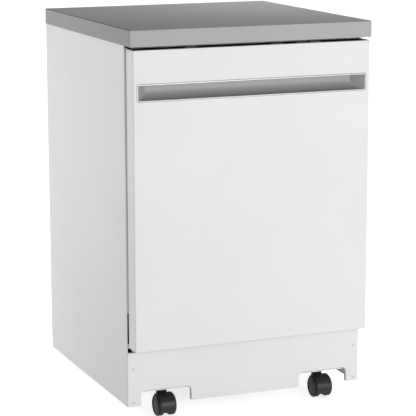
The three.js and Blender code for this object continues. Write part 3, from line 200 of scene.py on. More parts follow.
def moulded(name, color, low, high, grain=900.0, depth=0.00002, specular=0.5):
    """Injection moulded plastic with a fine spark-eroded grain."""
    dark, light = (tuple(v * share for v in color) for share in (0.88, 1.12))
    return mottled(name, dark, light, (25.0, 4.0), (140.0, low, high), (grain, 2.0, depth), 0.0, specular)


def lacquer(name, base, metallic, low, high):
    """Silver lacquer on plastic, with flakes too fine to see one by one."""
    look = Look(name, metallic)
    flake = look.spread(look.cells(2600.0), 0, 1, 0.2, 0.8)
    return look.finish(look.tones(flake, base, 0.94, 1.06, 0.01), (120.0, low, high), (1200.0, 1.0, 0.000008))


def brushed(name, base, grain, low=0.24, high=0.4):
    """Rolled stainless steel. The grain runs along the axis whose scale is smallest."""
    look = Look(name, 1.0)
    stretched = add_node(look.tree, "Mapping", "Vector", {"Vector": look.place, "Scale": grain})
    lines = look.noise(1.0, 5.0, 0.6, stretched)
    shade = look.tones(look.spread(lines), base, 0.9, 1.06, 0.01)
    look.set("Base Color", look.blend(look.spread(look.noise(5.0), 0, 0.3), shade, grey(base * 0.82, 0.02)))
    look.set("Roughness", look.spread(lines, low, high))
    look.bump(lines, 0.000012)
    return look.material


def zinc(name, base):
    """Zinc plate with its spangle and a dull bloom."""
    look = Look(name, 0.85)
    plate = look.tones(look.spread(look.cells(160.0), 0, 1, 0.1, 0.9), base, 0.9, 1.08, 0.02)
    color = look.blend(look.spread(look.noise(18.0, 5.0)), plate, grey(base * 0.84, 0.03))
    return look.finish(color, (60.0, 0.36, 0.54), (240.0, 2.0, 0.00002))


def chipboard(name):
    look = Look(name, specular=0.2, roughness=0.85)
    chips = look.spread(look.cells(330.0), 0, 1, 0.1, 0.9)
    look.set("Base Color", look.blend(chips, (0.4, 0.29, 0.18), (0.6, 0.46, 0.31)))
    look.bump(chips, 0.0002)
    return look.material


def filter_mesh(name, base):
    """Fine woven steel mesh, as rows of raised wires in relief."""
    look = Look(name, 0.9)
    weave = add_node(look.tree, "TexChecker", "Fac", {"Vector": look.place, "Scale": 900.0})
    look.set("Base Color", look.tones(weave, base, 0.4, 1.0))
    look.set("Roughness", look.spread(look.noise(80.0), 0.35, 0.5))
    look.bump(weave, 0.0001)
    return look.material


UPRIGHT_GRAIN = (9.0, 9.0, 260.0)  # scale along each axis
WHITE = enamel("enamel_white", 0.80, 0.022)
# The screw heads are the white enamel painted greyer: painted shade for the dark outline round each head.
SCREW_PAINTED_SHADE_WHITE = enamel("enamel_screws_painted_shade", 0.68, 0.022)
WORKTOP = laminate("laminate_grey", 0.44)
# The top skin is the edge laminate painted darker: painted shade for the weak light from above.
WORKTOP_TOP_PAINTED_SHADE = laminate("laminate_grey_top_painted_shade", 0.252)
# The side bands are a copy of the edge laminate with a shade of their own, set to fit the light on the sides:
# painted light.
WORKTOP_SIDE_PAINTED_LIGHT = laminate("laminate_grey_side_painted_light", 0.445)
BOARD = chipboard("chipboard")
LAMINATE_CORE = moulded("laminate_core", grey(0.03), 0.7, 0.8, specular=0.0)
SILVER = lacquer("lacquer_silver", 0.43, 0.65, 0.28, 0.34)
SATIN = lacquer("lacquer_satin", 0.33, 0.2, 0.5, 0.58)
# The scoop's end walls get a lighter copy of the satin lacquer: painted light.
SATIN_END_PAINTED_LIGHT = lacquer("lacquer_satin_end_painted_light", 0.39, 0.2, 0.5, 0.58)
BLACK = moulded("moulded_black", grey(0.02), 0.36, 0.5)
CASTER = moulded("moulded_caster", grey(0.012), 0.34, 0.44, specular=0.35)
WHEEL = moulded("moulded_wheel", grey(0.01), 0.42, 0.52, specular=0.22)
GREY_PART = moulded("moulded_grey", grey(0.2, 0.04), 0.4, 0.55)
PALE_PART = moulded("moulded_pale_grey", grey(0.42, 0.03), 0.38, 0.5)
CREAM = moulded("moulded_cream", (0.72, 0.71, 0.66), 0.4, 0.55)
STEEL = brushed("stainless_tub", 0.5, UPRIGHT_GRAIN, 0.4, 0.54)
DOOR_STEEL = brushed("stainless_door", 0.5, UPRIGHT_GRAIN, 0.34, 0.48)
RAIL_STEEL = brushed("stainless_rail", 0.62, (200.0, 6.0, 200.0))
ZINC = zinc("zinc_plate", 0.55)
STEM_STEEL = zinc("black_zinc_plate", 0.05)
SPRING_STEEL = zinc("zinc_spring", 0.42)
BRASS = zinc("brass_nut", 0.45)
RUBBER = mottled("rubber_seal", grey(0.04), grey(0.0625), (45.0, 5.0),
                 (200.0, 0.62, 0.8), (700.0, 3.0, 0.00004), specular=0.3)
FELT = moulded("damping_felt", grey(0.025), 0.85, 0.95, 500.0, 0.0003, 0.1)
COATING = mottled("nylon_coating", (0.3864, 0.4324, 0.4784), (0.42, 0.47, 0.52), (30.0, 3.0),
                  (80.0, 0.34, 0.48), (160.0, 1.0, 0.00006))
SHEATH = mottled("heater_sheath", (0.24, 0.2, 0.17), (0.36, 0.36, 0.4), (28.0, 5.0),
                 (120.0, 0.3, 0.5), (500.0, 3.0, 0.00002), 0.9)  # browned and blued by heat
MESH = filter_mesh("filter_mesh", 0.5)


# ---------------------------------------------------------------- outlines
def arc(cx, cy, radius, start, end, steps):
    """Points round part of a circle. Angles are in degrees."""
    return [(cx + radius * math.cos(math.radians(start + (end - start) * n / steps)),
             cy + radius * math.sin(math.radians(start + (end - start) * n / steps)))
            for n in range(steps + 1)]


def round_rect(x0, x1, y0, y1, radius, steps=6):
    return (arc(x1 - radius, y0 + radius, radius, -90, 0, steps)
            + arc(x1 - radius, y1 - radius, radius, 0, 90, steps)
            + arc(x0 + radius, y1 - radius, radius, 90, 180, steps)
            + arc(x0 + radius, y0 + radius, radius, 180, 270, steps))


def disc(radius, sides=10):
    return [(radius * math.cos(TAU * n / sides), radius * math.sin(TAU * n / sides)) for n in range(sides)]


def inset_rings(box, rows, plane="xz", steps=6):
    """Rings for add_stack, inside a box's outline, from rows of (inset, corner radius, distance along)."""
    u0, u1, v0, v1 = (getattr(box, axis + end) for axis in plane for end in "01")
    return [(round_rect(u0 + inset, u1 - inset, v0 + inset, v1 - inset, radius, steps), along)
            for inset, radius, along in rows]


def rod(radius, low, high):
    """A plain cylinder's profile for add_lathe."""
    return [(0, low), (radius, low), (radius, high), (0, high)]


def bent(path, radius, steps=5):
    """A path's points with its corners rounded, each with its normal to the left."""
    out = []
    for n, point in enumerate(path):
        here = Vector(point)
        before = (here - Vector(path[n - 1])).normalized() if n else None
        after = (Vector(path[n + 1]) - here).normalized() if n < len(path) - 1 else None
        if before is None or after is None:
            along = after if before is None else before
            out.append((here, Vector((-along.y, along.x))))
            continue
        turn = before.angle_signed(after)  # clockwise is positive
        reach = radius * math.tan(abs(turn) / 2)
        first = Vector((-before.y, before.x))
        side = 1 if turn < 0 else -1
        centre = here - before * reach + first * radius * side
        for k in range(steps + 1):
            normal = Matrix.Rotation(-turn * k / steps, 2) @ first
            out.append((centre - normal * radius * side, normal))
    return out


def folded(path, radius, thick=SHEET, side=1):
    """A folded sheet's outline. The path is its right-hand face, and side -1 mirrors it left to right."""
    points = bent(path, radius)
    outline = [p for p, _ in points] + [p + n * thick for p, n in reversed(points)]
    return [(side * x, y) for x, y in outline]


def across(side, near, far):
    """Two distances to one side of the middle, as X in rising order."""
    return sorted((side * near, side * far))


def span(count, low, high):
    return [low + (high - low) * n / (count - 1) for n in range(count)]


def quarter(steps):
    """(1 - sin, 1 - cos) of angles from 0 to 90 degrees, for rounded edges."""
    angles = [math.pi / 2 * n / steps for n in range(steps + 1)]
    return [(1 - math.sin(a), 1 - math.cos(a)) for a in angles]


# ---------------------------------------------------------------- mesh building, in millimetres
def place(axis, a, b, along):
    """A point from an outline's two coordinates and the distance along the axis it is square to."""
    return {"x": (along, a, b), "y": (a, along, b), "z": (a, b, along)}[axis]


def add_loops(bm, loops, closed=False, caps=(True, True), material=0):
    """Joins loops of points with faces. A loop of one point is a tip."""
    loops = [[bm.verts.new(p) for p in loop] for loop in loops]
    count = max(len(loop) for loop in loops)
    faces = []
    for low, high in zip(loops, loops[1:] + loops[:1] if closed else loops[1:]):
        for n in range(count):
            m = (n + 1) % count
            corners = (low[n % len(low)], low[m % len(low)], high[m % len(high)], high[n % len(high)])
            corners = list(dict.fromkeys(corners))
            if len(corners) > 2:
                faces.append(bm.faces.new(corners))
    faces += [bm.faces.new(loop) for loop, wanted in ((loops[0], caps[0]), (loops[-1], caps[1])) if wanted]
    for face in faces:
        face.material_index = material


def add_stack(bm, axis, rings, closed=False, caps=(True, True), material=0):
    """Joins rings of equal count. Each ring is (outline, distance along the axis)."""
    loops = [[place(axis, *p, along) for p in outline] for outline, along in rings]
    add_loops(bm, loops, closed, caps, material)


def add_prism(bm, outline, axis, low, high, material=0):
    add_stack(bm, axis, [(outline, low), (outline, high)], material=material)


def add_box(bm, x0, x1, y0, y1, z0, z1, material=0):
    add_prism(bm, [(x0, y0), (x1, y0), (x1, y1), (x0, y1)], "z", z0, z1, material)


def add_lathe(bm, profile, axis, a, b, steps=32, closed=False, material=0):
    """Turns a profile of (radius, distance along the axis) round the axis through (a, b)."""
    loops = [[place(axis, a + radius * c, b + radius * s, along) for c, s in disc(1, steps if radius else 1)]
             for radius, along in profile]
    add_loops(bm, loops, closed, (False, False), material)


def add_sweep(bm, points, section, closed=False, up=None):
    """Carries a section's outline along points in space. Open ends are capped."""
    points = [Vector(p) for p in points]
    count = len(points)
    loops = []
    normal = Vector(up) if up else None
    for n, point in enumerate(points):
        before = points[n - 1] if n or closed else point
        after = points[(n + 1) % count] if n < count - 1 or closed else point
        along = (after - before).normalized()
        if normal is None:
            normal = along.orthogonal()
        normal = (normal - along * normal.dot(along)).normalized()
        sideways = along.cross(normal)
        stretch, inward = 1.0, None
        if 0 < n < count - 1 or closed:
            first, second = (point - before).normalized(), (after - point).normalized()
            stretch = 1 / max(0.3, math.cos(first.angle(second, 0.0) / 2))
            bend = second - first
            if stretch > 1.001 and bend.length > 1e-6:
                inward = (bend - along * bend.dot(along)).normalized()
        loop = []
        for a, b in section:
            offset = normal * a + sideways * b
            if inward:
                offset += inward * offset.dot(inward) * (stretch - 1)
            loop.append(point + offset)
        loops.append(loop)
        if up:
            normal = Vector(up)
    add_loops(bm, loops, closed, (not closed, not closed))


def rounded_path(points, radius, steps=5):
    """A path in space with its corners rounded."""
    out = [Vector(points[0])]
    for before, here, after in zip(points, points[1:], points[2:]):
        here = Vector(here)
        first = (Vector(before) - here).normalized()
        second = (Vector(after) - here).normalized()
        angle = first.angle(second)
        if angle > math.pi - 0.01:
            out.append(here)
            continue
        reach = radius / math.tan(angle / 2)
        centre = here + (first + second).normalized() * (radius / math.sin(angle / 2))
        start, end = (here + way * reach - centre for way in (first, second))
        out += [centre + start.slerp(end, n / steps) for n in range(steps + 1)]
    out.append(Vector(points[-1]))
    return out


def add_wire(bm, points, radius, bend=0.0):
    add_sweep(bm, rounded_path(points, bend) if bend else points, disc(radius, 8))


def raw_object(name, bm):
    bmesh.ops.recalc_face_normals(bm, faces=bm.faces)
    bmesh.ops.scale(bm, vec=(MM, MM, MM), verts=bm.verts)
    mesh = bpy.data.meshes.new(name)
    bm.to_mesh(mesh)
    bm.free()
    made = bpy.data.objects.new(name, mesh)
    bpy.context.scene.collection.objects.link(made)
    return made


def applied(made):
    """Replaces an object's mesh by what its modifiers make of it."""
    graph = bpy.context.evaluated_depsgraph_get()
    mesh = bpy.data.meshes.new_from_object(made.evaluated_get(graph))
    made.modifiers.clear()
    made.data = mesh


def carve(made, cutters, operation="DIFFERENCE"):
    """Cuts meshes out of an object, or joins them to it."""
    for n, bm in enumerate(cutters):
        tool = raw_object(f"tool_{n}", bm)
        change = made.modifiers.new("carve", "BOOLEAN")
        change.operation = operation
        change.solver = "EXACT"
        change.object = tool
        applied(made)
        bpy.data.objects.remove(tool)


def drawn(add, *args, **kwargs):
    """A new mesh holding what one add_ function draws."""
    bm = bmesh.new()
    add(bm, *args, **kwargs)
    return bm


def soften(made, width=0.0, segments=2, angle=35):
    """Rounds sharp edges and shades the faces between them as flat."""
    for face in made.data.polygons:
        face.use_smooth = True
    if width:
        bevel = made.modifiers.new("edges", "BEVEL")
        bevel.width = width * MM
        bevel.segments = segments
        bevel.limit_method = "ANGLE"
        bevel.angle_limit = math.radians(angle)
        bevel.harden_normals = True
        bevel.miter_outer = "MITER_ARC"
    else:
        made.data.set_sharp_from_angle(angle=math.radians(angle))
    even = made.modifiers.new("shading", "WEIGHTED_NORMAL")
    even.keep_sharp = True


def piece(made, looks, slot, node=None, body="cabinet", **edges):
    """Finishes an object: its materials, its edges, the body it rides on and the node it stands for."""
    for look in (looks if isinstance(looks, tuple) else (looks,)):
        made.data.materials.append(look)
    soften(made, **edges)
    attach(made, body)
    if node:
        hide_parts(node)


def mesh_piece(name, bm, *args, **kwargs):
    piece(raw_object(name, bm), *args, **kwargs)


def keep_node(name, bevel):
    """A CAD node that stays, with a material and softened edges."""
    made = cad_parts[name]
    made.data.materials.clear()
    made.data.materials.append(ZINC)
    soften(made, bevel)


# ---------------------------------------------------------------- worktop
SKIN = 1.2  # laminate on top
BAND = 1.0  # laminate on the edges
SEAM = 0.7  # open joint between two edge bands


def show_core(bm, index):
    """Gives the laminate's cut ends, which face left and right, the colour of its core."""
    bm.normal_update()
    for face in bm.faces:
        if abs(face.normal.x) > 0.7:
            face.material_index = index


def make_worktop():
    top = node_box("worktop")
    low = top.z1 - SKIN
    core = drawn(add_box, top.x0 + BAND, top.x1 - BAND, top.y0 + BAND, top.y1 - BAND, top.z0, low)
    mesh_piece("worktop_board", core, BOARD, "worktop_laminate", "worktop", width=0.2)
    skin = drawn(add_prism, round_rect(top.x0, top.x1, top.y0, top.y1, 1.2, 3), "z", low, top.z1)
    show_core(skin, 1)
    # The top skin takes the darker copy of the laminate: painted shade.
    mesh_piece("worktop_top_skin", skin, (WORKTOP_TOP_PAINTED_SHADE, LAMINATE_CORE), "worktop_laminate",
               width=0.2, segments=3)
    bands = bmesh.new()
    edge = low - 0.1
    for y0, y1 in ((top.y0, top.y0 + BAND), (top.y1 - BAND, top.y1)):
        add_box(bands, top.x0, top.x1, y0, y1, top.z0, edge)
    show_core(bands, 2)
    # The side bands take their own copy of the laminate: painted light.
    for x0, x1 in ((top.x0, top.x0 + BAND), (top.x1 - BAND, top.x1)):
        add_box(bands, x0, x1, top.y0 + BAND + SEAM, top.y1 - BAND - SEAM, top.z0, edge, 1)
    mesh_piece("worktop_edge_bands", bands, (WORKTOP, WORKTOP_SIDE_PAINTED_LIGHT, LAMINATE_CORE), "worktop_laminate",
               width=0.15)


# ---------------------------------------------------------------- cabinet panels
FRONT_FOLD = 8.0  # widths of the folds
REAR_FOLD = 12.0
SLOT_LOW, SLOT_HIGH = 188.0, 262.5  # cut-out in the front fold beside the hinge arm
NICK_LOW, NICK_HIGH = 166.5, 177.0  # and a small one between the kick plate and the door


def make_side_panel(name, side):
    box = node_box(f"{name}_side_panel")
    outer = max(abs(box.x0), abs(box.x1))
    inner, lap = outer - SHEET, outer - 0.4  # the top and bottom folds overlap the sheet a little
    bm = bmesh.new()
    wall = [(outer - FRONT_FOLD, box.y0), (outer, box.y0), (outer, box.y1), (outer - REAR_FOLD, box.y1)]
    add_prism(bm, folded(wall, FOLD, side=side), "z", box.z0, box.z1)
    for path in ([(inner - FRONT_FOLD, box.z0), (lap, box.z0)], [(lap, box.z1), (outer - REAR_FOLD, box.z1)]):
        add_prism(bm, folded(path, FOLD, side=side), "y", box.y0 + FOLD, box.y1 - FOLD)
    made = raw_object(f"{name}_side_panel_sheet", bm)
    near_far = across(side, outer - FRONT_FOLD - 1, inner - 0.6)
    heights = ((box.z1 - 5.5, box.z1 + 1), (SLOT_LOW, SLOT_HIGH), (NICK_LOW, NICK_HIGH))
    carve(made, [drawn(add_box, *near_far, box.y0 - 1, box.y0 + FOLD, *z) for z in heights])
    piece(made, WHITE, "white_steel", f"{name}_side_panel", angle=20)


BEAD_INSET = 46.0  # the pressed bead round the rear panel
BEAD_WIDTH = 16.0
BEAD_DEPTH = 2.0
REAR_SCREWS = 5  # down each side
REAR_SCREW_R = 4.2
REAR_SCREW_HIGH = 1.9
REAR_SCREW_EDGE = 7.0  # from the panel's side edge
REAR_SCREW_END = 25.0  # from its top and bottom
GLAND_HOLE = 10.3  # radii of the hole in the panel and of the gland's own bore
GLAND_BORE = 4.0
SLEEVE_R = 12.0  # the two hose sleeves
HOSE_PITCH = 32.0
HOSE_BORE = 10.0


def make_rear_panel():
    box, gland, hoses = node_box("rear_panel"), node_box("cord_gland"), node_box("hose_grommet")
    face = box.y1
    rows = [(0.0, 3.0, face - SHEET), (0.0, 3.0, face - 0.3), (0.4, 3.0, face), (BEAD_INSET, 3.0, face)]
    for share in span(9, 0, 1)[1:]:
        depth = BEAD_DEPTH * math.sin(math.pi * share) ** 2
        rows.append((BEAD_INSET + BEAD_WIDTH * share, 8.0, face - depth))
    made = raw_object("rear_panel_sheet", drawn(add_stack, "y", inset_rings(box, rows)))
    holes = [(GLAND_HOLE, gland.x)]
    holes += [(SLEEVE_R + HAIR, hoses.x + side * HOSE_PITCH / 2) for _, side in SIDES]
    carve(made, [drawn(add_lathe, rod(r, box.y0 - 5, face + 5), "y", x, gland.z) for r, x in holes])
    piece(made, WHITE, "white_steel", "rear_panel", angle=25)
    screws = bmesh.new()
    for _, side in SIDES:
        for z in span(REAR_SCREWS, box.z0 + REAR_SCREW_END, box.z1 - REAR_SCREW_END):
            x = side * (box.x1 - REAR_SCREW_EDGE)
            add_screw_head(screws, x, face, z, 1, REAR_SCREW_R, REAR_SCREW_HIGH)
    mesh_piece("rear_screws", screws, ZINC, "zinc_steel", angle=40)


def add_screw_head(bm, x, y, z, outward, radius, height):
    """A domed head with a washer face and a round recess. Outward is -1 or 1 along Y."""
    profile = [(0, -0.3), (radius, -0.3), (radius, height * 0.22)]
    for n in range(1, 6):
        a = math.pi / 2 * n / 6
        profile.append((radius * 0.94 * math.cos(a), height * (0.22 + 0.78 * math.sin(a))))
    profile += [(radius * 0.3, height * 0.99), (radius * 0.22, height * 0.45), (0, height * 0.4)]
    add_lathe(bm, [(r, y + outward * along) for r, along in profile], "y", x, z, 20)


def make_rear_fittings():
    gland, hoses = node_box("cord_gland"), node_box("hose_grommet")
    x, z = gland.x, gland.z
    rear = node_box("rear_panel").y1
    profile = [(0, gland.y0), (9.0, gland.y0), (9.8, gland.y0 + 1), (9.8, rear), (15.0, rear),
               (15.0, rear + 1.2), (13.8, rear + 2.0), (9.4, rear + 2.2), (8.6, gland.y1),
               (5.2, gland.y1), (3.0, gland.y1 - 1.5), (0, gland.y1 - 1.5)]
    made = raw_object("cord_gland_body", drawn(add_lathe, profile, "y", x, z, 40))
    nut = [(x + a, z + b) for a, b in disc(12.5, 6)]
    carve(made, [drawn(add_prism, nut, "y", rear - 6, rear - 1.2)], "UNION")
    carve(made, [drawn(add_lathe, rod(GLAND_BORE, gland.y0 - 4, gland.y1 + 4), "y", x, z, 40)])
    piece(made, BLACK, "black_plastic", "cord_gland", angle=30)

    rings = inset_rings(hoses, [(0, 6.0, rear), (0, 6.0, hoses.y1 - 1.0), (1, 5.0, hoses.y1)])
    made = raw_object("hose_grommet_plate", drawn(add_stack, "y", rings))
    centres = [hoses.x + side * HOSE_PITCH / 2 for _, side in SIDES]
    ribs = [(HOSE_BORE - (0.5 if n % 2 else 0.0), y) for n, y in enumerate(span(7, hoses.y0, hoses.y1))]
    ribs = [(0, hoses.y0 - 2), *ribs, (HOSE_BORE, hoses.y1 + 2), (0, hoses.y1 + 2)]
    carve(made, [drawn(add_lathe, rod(SLEEVE_R, hoses.y0, rear + 1), "y", x, hoses.z, 40) for x in centres],
          "UNION")
    carve(made, [drawn(add_lathe, ribs, "y", x, hoses.z, 40) for x in centres])
    piece(made, BLACK, "black_plastic", "hose_grommet", angle=30)


# ---------------------------------------------------------------- felt blankets
TUB_WALL_X = 273.0  # outer face of the tub's side walls
BLANKET_THICK = 2.4
BLANKET_LOW, BLANKET_HIGH = 141.0, 846.0
BLANKET_FRONT = -236.0  # behind the hinge brackets
BLANKET_BACK = 30.0  # in front of the tub's back
BLANKET_ROUND = 12.0


def make_blankets():
    """Felt blankets on the outside of the tub's walls. They hang a little below it, behind the hinges."""
    wall = TUB_WALL_X + 0.1
    outline = round_rect(BLANKET_FRONT, node_box("tub").y1 - BLANKET_BACK, BLANKET_LOW, BLANKET_HIGH,
                         BLANKET_ROUND)
    for name, side in SIDES:
        bm = drawn(add_prism, outline, "x", *across(side, wall, wall + BLANKET_THICK))
        mesh_piece(f"{name}_felt_blanket", bm, FELT, "black_rubber", width=0.5, angle=40)


# ---------------------------------------------------------------- kick plate
NOTCH_IN, NOTCH_OUT = 142.0, 270.0  # a caster notch's two sides, from the middle
NOTCH_HIGH = 70.0
NOTCH_R = 11.0
NOTCH_LIP = 10.0  # how far its folded lip reaches back
NOTCH_FOOT_R = 2.5
KICK_EDGE = 1.6  # rounding of the kick plate's edges
KICK_BACK, KICK_RETURN = 1.9, 0.8  # how far that rounding reaches back, and then in
KICK_FLANGE = 12.7  # the top flange's depth


def kick_outline(box, inset):
    """The kick plate's front outline, drawn inset from its edge, with the two caster notches."""
    low, high, x = box.z0 + inset, box.z1 - inset, box.x1 - inset
    corner, foot, edge = NOTCH_R + inset, NOTCH_FOOT_R - inset * 0.5, 2.0 - inset * 0.5
    top = NOTCH_HIGH + inset - corner
    outline = arc(x - edge, low + edge, edge, 0, -90, 3)
    for a, b in ((NOTCH_IN - inset, NOTCH_OUT + inset), (-NOTCH_OUT - inset, -NOTCH_IN + inset)):
        outline += arc(b + foot, low + foot, foot, 270, 180, 3) + arc(b - corner, top, corner, 0, 90, 6)
        outline += arc(a + corner, top, corner, 90, 180, 6) + arc(a - foot, low + foot, foot, 0, -90, 3)
    outline += arc(edge - x, low + edge, edge, 270, 180, 3) + arc(edge - x, high - edge, edge, 180, 90, 3)
    return outline + arc(x - edge, high - edge, edge, 90, 0, 3)


def make_kick_plate():
    box = node_box("kick_plate")
    face = box.y0
    front = face + KICK_EDGE
    rings = [(kick_outline(box, KICK_EDGE * rise), face + KICK_EDGE * run) for rise, run in quarter(4)]
    rings += [(kick_outline(box, inset), face + depth)
              for inset, depth in ((0.0, KICK_BACK), (KICK_RETURN, KICK_BACK), (KICK_RETURN, SHEET))]
    bm = drawn(add_stack, "y", rings)
    low = box.z0 + 1
    for _, side in SIDES:
        path = [(side * NOTCH_IN, low), (side * NOTCH_IN, NOTCH_HIGH), (side * NOTCH_OUT, NOTCH_HIGH),
                (side * NOTCH_OUT, low)]
        add_prism(bm, folded(path[::side], NOTCH_R), "y", front, face + NOTCH_LIP)
    flat = NOTCH_IN - NOTCH_FOOT_R
    add_box(bm, -flat, flat, front, face + NOTCH_LIP, box.z0, box.z0 + SHEET)
    add_box(bm, -flat * 1.9, flat * 1.9, front, face + KICK_FLANGE, box.z1 - SHEET, box.z1)
    mesh_piece("kick_plate_sheet", bm, WHITE, "white_steel", "kick_plate", angle=30)
    for node in (f"kick_screw_{name}_{level}" for name, _ in SIDES for level in ("lower", "upper")):
        head = node_box(node)
        bm = drawn(add_screw_head, head.x, face, head.z, -1, (head.x1 - head.x0) / 2, face - head.y0)
        # Greyer enamel on the heads: painted shade.
        mesh_piece(f"{node}_head", bm, SCREW_PAINTED_SHADE_WHITE, "white_steel", node, angle=40)


# ---------------------------------------------------------------- casters
CASTER_TRAIL = 20.0  # stem's axis behind the axle
HOOD_HALF = 20.0
HOOD_SHELL = 2.5
HOOD_EDGE = 3.0
HOOD_CUT = 12.0  # the hood's lower edge above the floor
WEB_HALF = 5.0  # plate between the two wheels
POCKET_GAP = 0.8
COLLAR_R = 13.0
COLLAR_STEP = 19.2  # from the stem's top down to the collar's
TREAD_DROP = 6.5  # how far the tread rounds off on its inner side
TREAD_ROUND = 5.5
AXLE_R = 2.9
AXLE_BORE_R = 3.4


def add_hood(bm, x, y, z, wheel_r):
    """A drum round the axle, open at both ends down to its web, and cut off level above the floor."""
    outer, pocket = wheel_r + HOOD_SHELL, wheel_r + POCKET_GAP
    half = [(0, -WEB_HALF), (pocket, -WEB_HALF), (pocket, 0.4 - HOOD_HALF)]
    for a in span(7, math.radians(27), math.radians(90)):
        half.append((outer - HOOD_EDGE * (1 - math.sin(a)), HOOD_EDGE * (1 - math.cos(a)) - HOOD_HALF))
    profile = [(r, x + along) for r, along in half] + [(r, x - along) for r, along in reversed(half)]
    add_lathe(bm, profile, "x", y, z, 72)
    bmesh.ops.bisect_plane(bm, geom=bm.verts[:] + bm.edges[:] + bm.faces[:], dist=1e-5,
                           plane_co=(0, 0, HOOD_CUT), plane_no=(0, 0, -1), clear_outer=True)
    bmesh.ops.holes_fill(bm, edges=[e for e in bm.edges if e.is_boundary])


def add_collar(bm, x, y, z, stem_y, wheel_r, top):
    """The stem's collar. Its foot follows the drum's shell, so that it stays out of the wheels' pockets."""
    seat = wheel_r + (HOOD_SHELL + POCKET_GAP) / 2
    loops = []
    for share, height in ((0.3, None), (0.65, None), (1.0, None), (1.0, top - 1), (0.93, top)):
        loop = []
        for a, b in disc(COLLAR_R * share, 36):
            shell = z + math.sqrt(max(seat ** 2 - (stem_y + b - y) ** 2, 9.0))
            loop.append((x + a, stem_y + b, height or shell))
        loops.append(loop)
    add_loops(bm, loops)


def make_caster(end, name):
    at = f"{end}_{name}"
    hood = node_box(f"caster_hood_{at}")
    left, right = (node_box(f"caster_wheel_{at}_{wheel}") for wheel, _ in SIDES)
    x, y, z = (left.x0 + right.x1) / 2, left.y, left.z
    stem_y = y + CASTER_TRAIL
    wheel_r = (left.z1 - left.z0) / 2
    top = hood.z1 - COLLAR_STEP
    bm = drawn(add_hood, x, y, z, wheel_r)
    add_collar(bm, x, y, z, stem_y, wheel_r, top - 4.6)
    body = f"caster_{at}"
    mesh_piece(f"{body}_hood", bm, CASTER, "black_plastic", f"caster_hood_{at}", body, angle=32)
    nut = [(0, top - 4.8), (11.6, top - 4.8), (11.6, top - 1.2), (12.8, top - 0.6), (12.8, top - 0.2),
           (12.4, top), (0, top)]
    stem = [(0, top - 0.5), (4.9, top - 0.5), (4.9, hood.z1 - 3), (5.4, hood.z1 - 2), (4.6, hood.z1),
            (0, hood.z1)]
    bm = drawn(add_lathe, nut, "z", x, stem_y, 36)
    add_lathe(bm, stem, "z", x, stem_y, 24)
    mesh_piece(f"{body}_stem", bm, STEM_STEEL, "zinc_steel", None, body, angle=32)
    bm = drawn(add_lathe, rod(AXLE_R, left.x0 + 2.2, right.x1 - 2.2), "x", y, z, 24)
    mesh_piece(f"{body}_axle", bm, ZINC, "zinc_steel", None, body, width=0.3)
    for (wheel, side), box in zip(SIDES, (left, right)):
        make_wheel(f"{at}_{wheel}", box, side)


def make_wheel(name, box, side):
    """A wheel whose tread rounds off towards the web, with a raised rim and a dished cap outside."""
    radius = (box.z1 - box.z0) / 2
    inner, outer = (box.x1, box.x0) if side < 0 else (box.x0, box.x1)
    profile = [(0, outer - side * 2.0), (AXLE_BORE_R, outer - side * 2.0), (AXLE_BORE_R, inner)]
    profile += [(radius - TREAD_DROP * rise, inner + side * TREAD_ROUND * run) for rise, run in quarter(6)]
    cap = ((radius, 3.4), (radius - 1.0, 1.6), (radius - 3.2, 0.3), (radius - 4.6, 0), (radius - 5.6, 0.4),
           (radius - 6.2, 1.8), (radius - 8.0, 1.5), (radius * 0.45, 0.55), (5.0, 0.35), (0, 0.3))
    profile += [(r, outer - side * depth) for r, depth in cap]
    bm = drawn(add_lathe, profile, "x", box.y, box.z, 56)
    body = f"wheel_{name}"
    mesh_piece(f"{body}_disc", bm, WHEEL, "black_plastic", f"caster_{body}", body, angle=50)


# ---------------------------------------------------------------- door
DOOR_FOLD = 3.2
DOOR_TOP_FOLD = 5.5  # the door face rounds off more slowly along its top
ARM_X = 288.0
ARM_THICK = 3.0
ARM_GAP = 2.0
ARM_SLOT_RISE = 93.0
SCOOP_SLOPE = 25.0  # how far each end of the finger scoop leans in at its deepest
SCOOP_DEEP = 30.0
SCOOP_ROUND = 22.0  # radius between the scoop's floor and its back
SCOOP_ROOF = 4.0  # radius between its back and its roof
SCOOP_WALL = 1.4
SCOOP_END_R = 2.4  # fillet between the scoop and its ends
RIM = 4.7


def arm_slots(y0, y1, z0, z1):
    """Cutters that let the two hinge arms through."""
    return [drawn(add_box, *across(side, ARM_X - ARM_GAP, ARM_X + ARM_THICK + ARM_GAP), y0, y1, z0, z1)
            for _, side in SIDES]


def make_door_skin():
    box, pocket = node_box("door_outer_panel"), node_box("handle_pocket")
    back = box.y1
    rings = []
    for rise, run in quarter(6):
        inset = DOOR_FOLD * rise
        rings.append((round_rect(box.x0 + inset, box.x1 - inset, box.z0 + inset,
                                 box.z1 - inset * DOOR_TOP_FOLD / DOOR_FOLD, DOOR_FOLD + 1.0 - inset * 0.9),
                      box.y0 + DOOR_FOLD * run))
    rings += inset_rings(box, [(0, DOOR_FOLD + 1.0, back), (SHEET, DOOR_FOLD, back),
                               (SHEET, DOOR_FOLD, box.y0 + SHEET)])
    made = raw_object("door_skin", drawn(add_stack, "y", rings))
    hole = round_rect(pocket.x0 + 4, pocket.x1 - 4, pocket.z0 + 3, pocket.z1 - 3, 2.0)
    cuts = [drawn(add_prism, hole, "y", box.y0 - 5, box.y0 + 5),
            drawn(add_box, box.x0 + SHEET + 0.2, box.x1 - SHEET - 0.2, box.y0 + 7, back + 5,
                  box.z1 - 4, box.z1 + 5),
            drawn(add_box, box.x0 - 5, box.x1 + 5, back - SHEET, back + 5, box.z0 - 5, box.z0 + SHEET + 1)]
    carve(made, cuts + arm_slots(box.y0 + 31, back + 5, box.z0 - 5, box.z0 + SHEET + 2))
    piece(made, WHITE, "white_steel", "door_outer_panel", "door", angle=25)


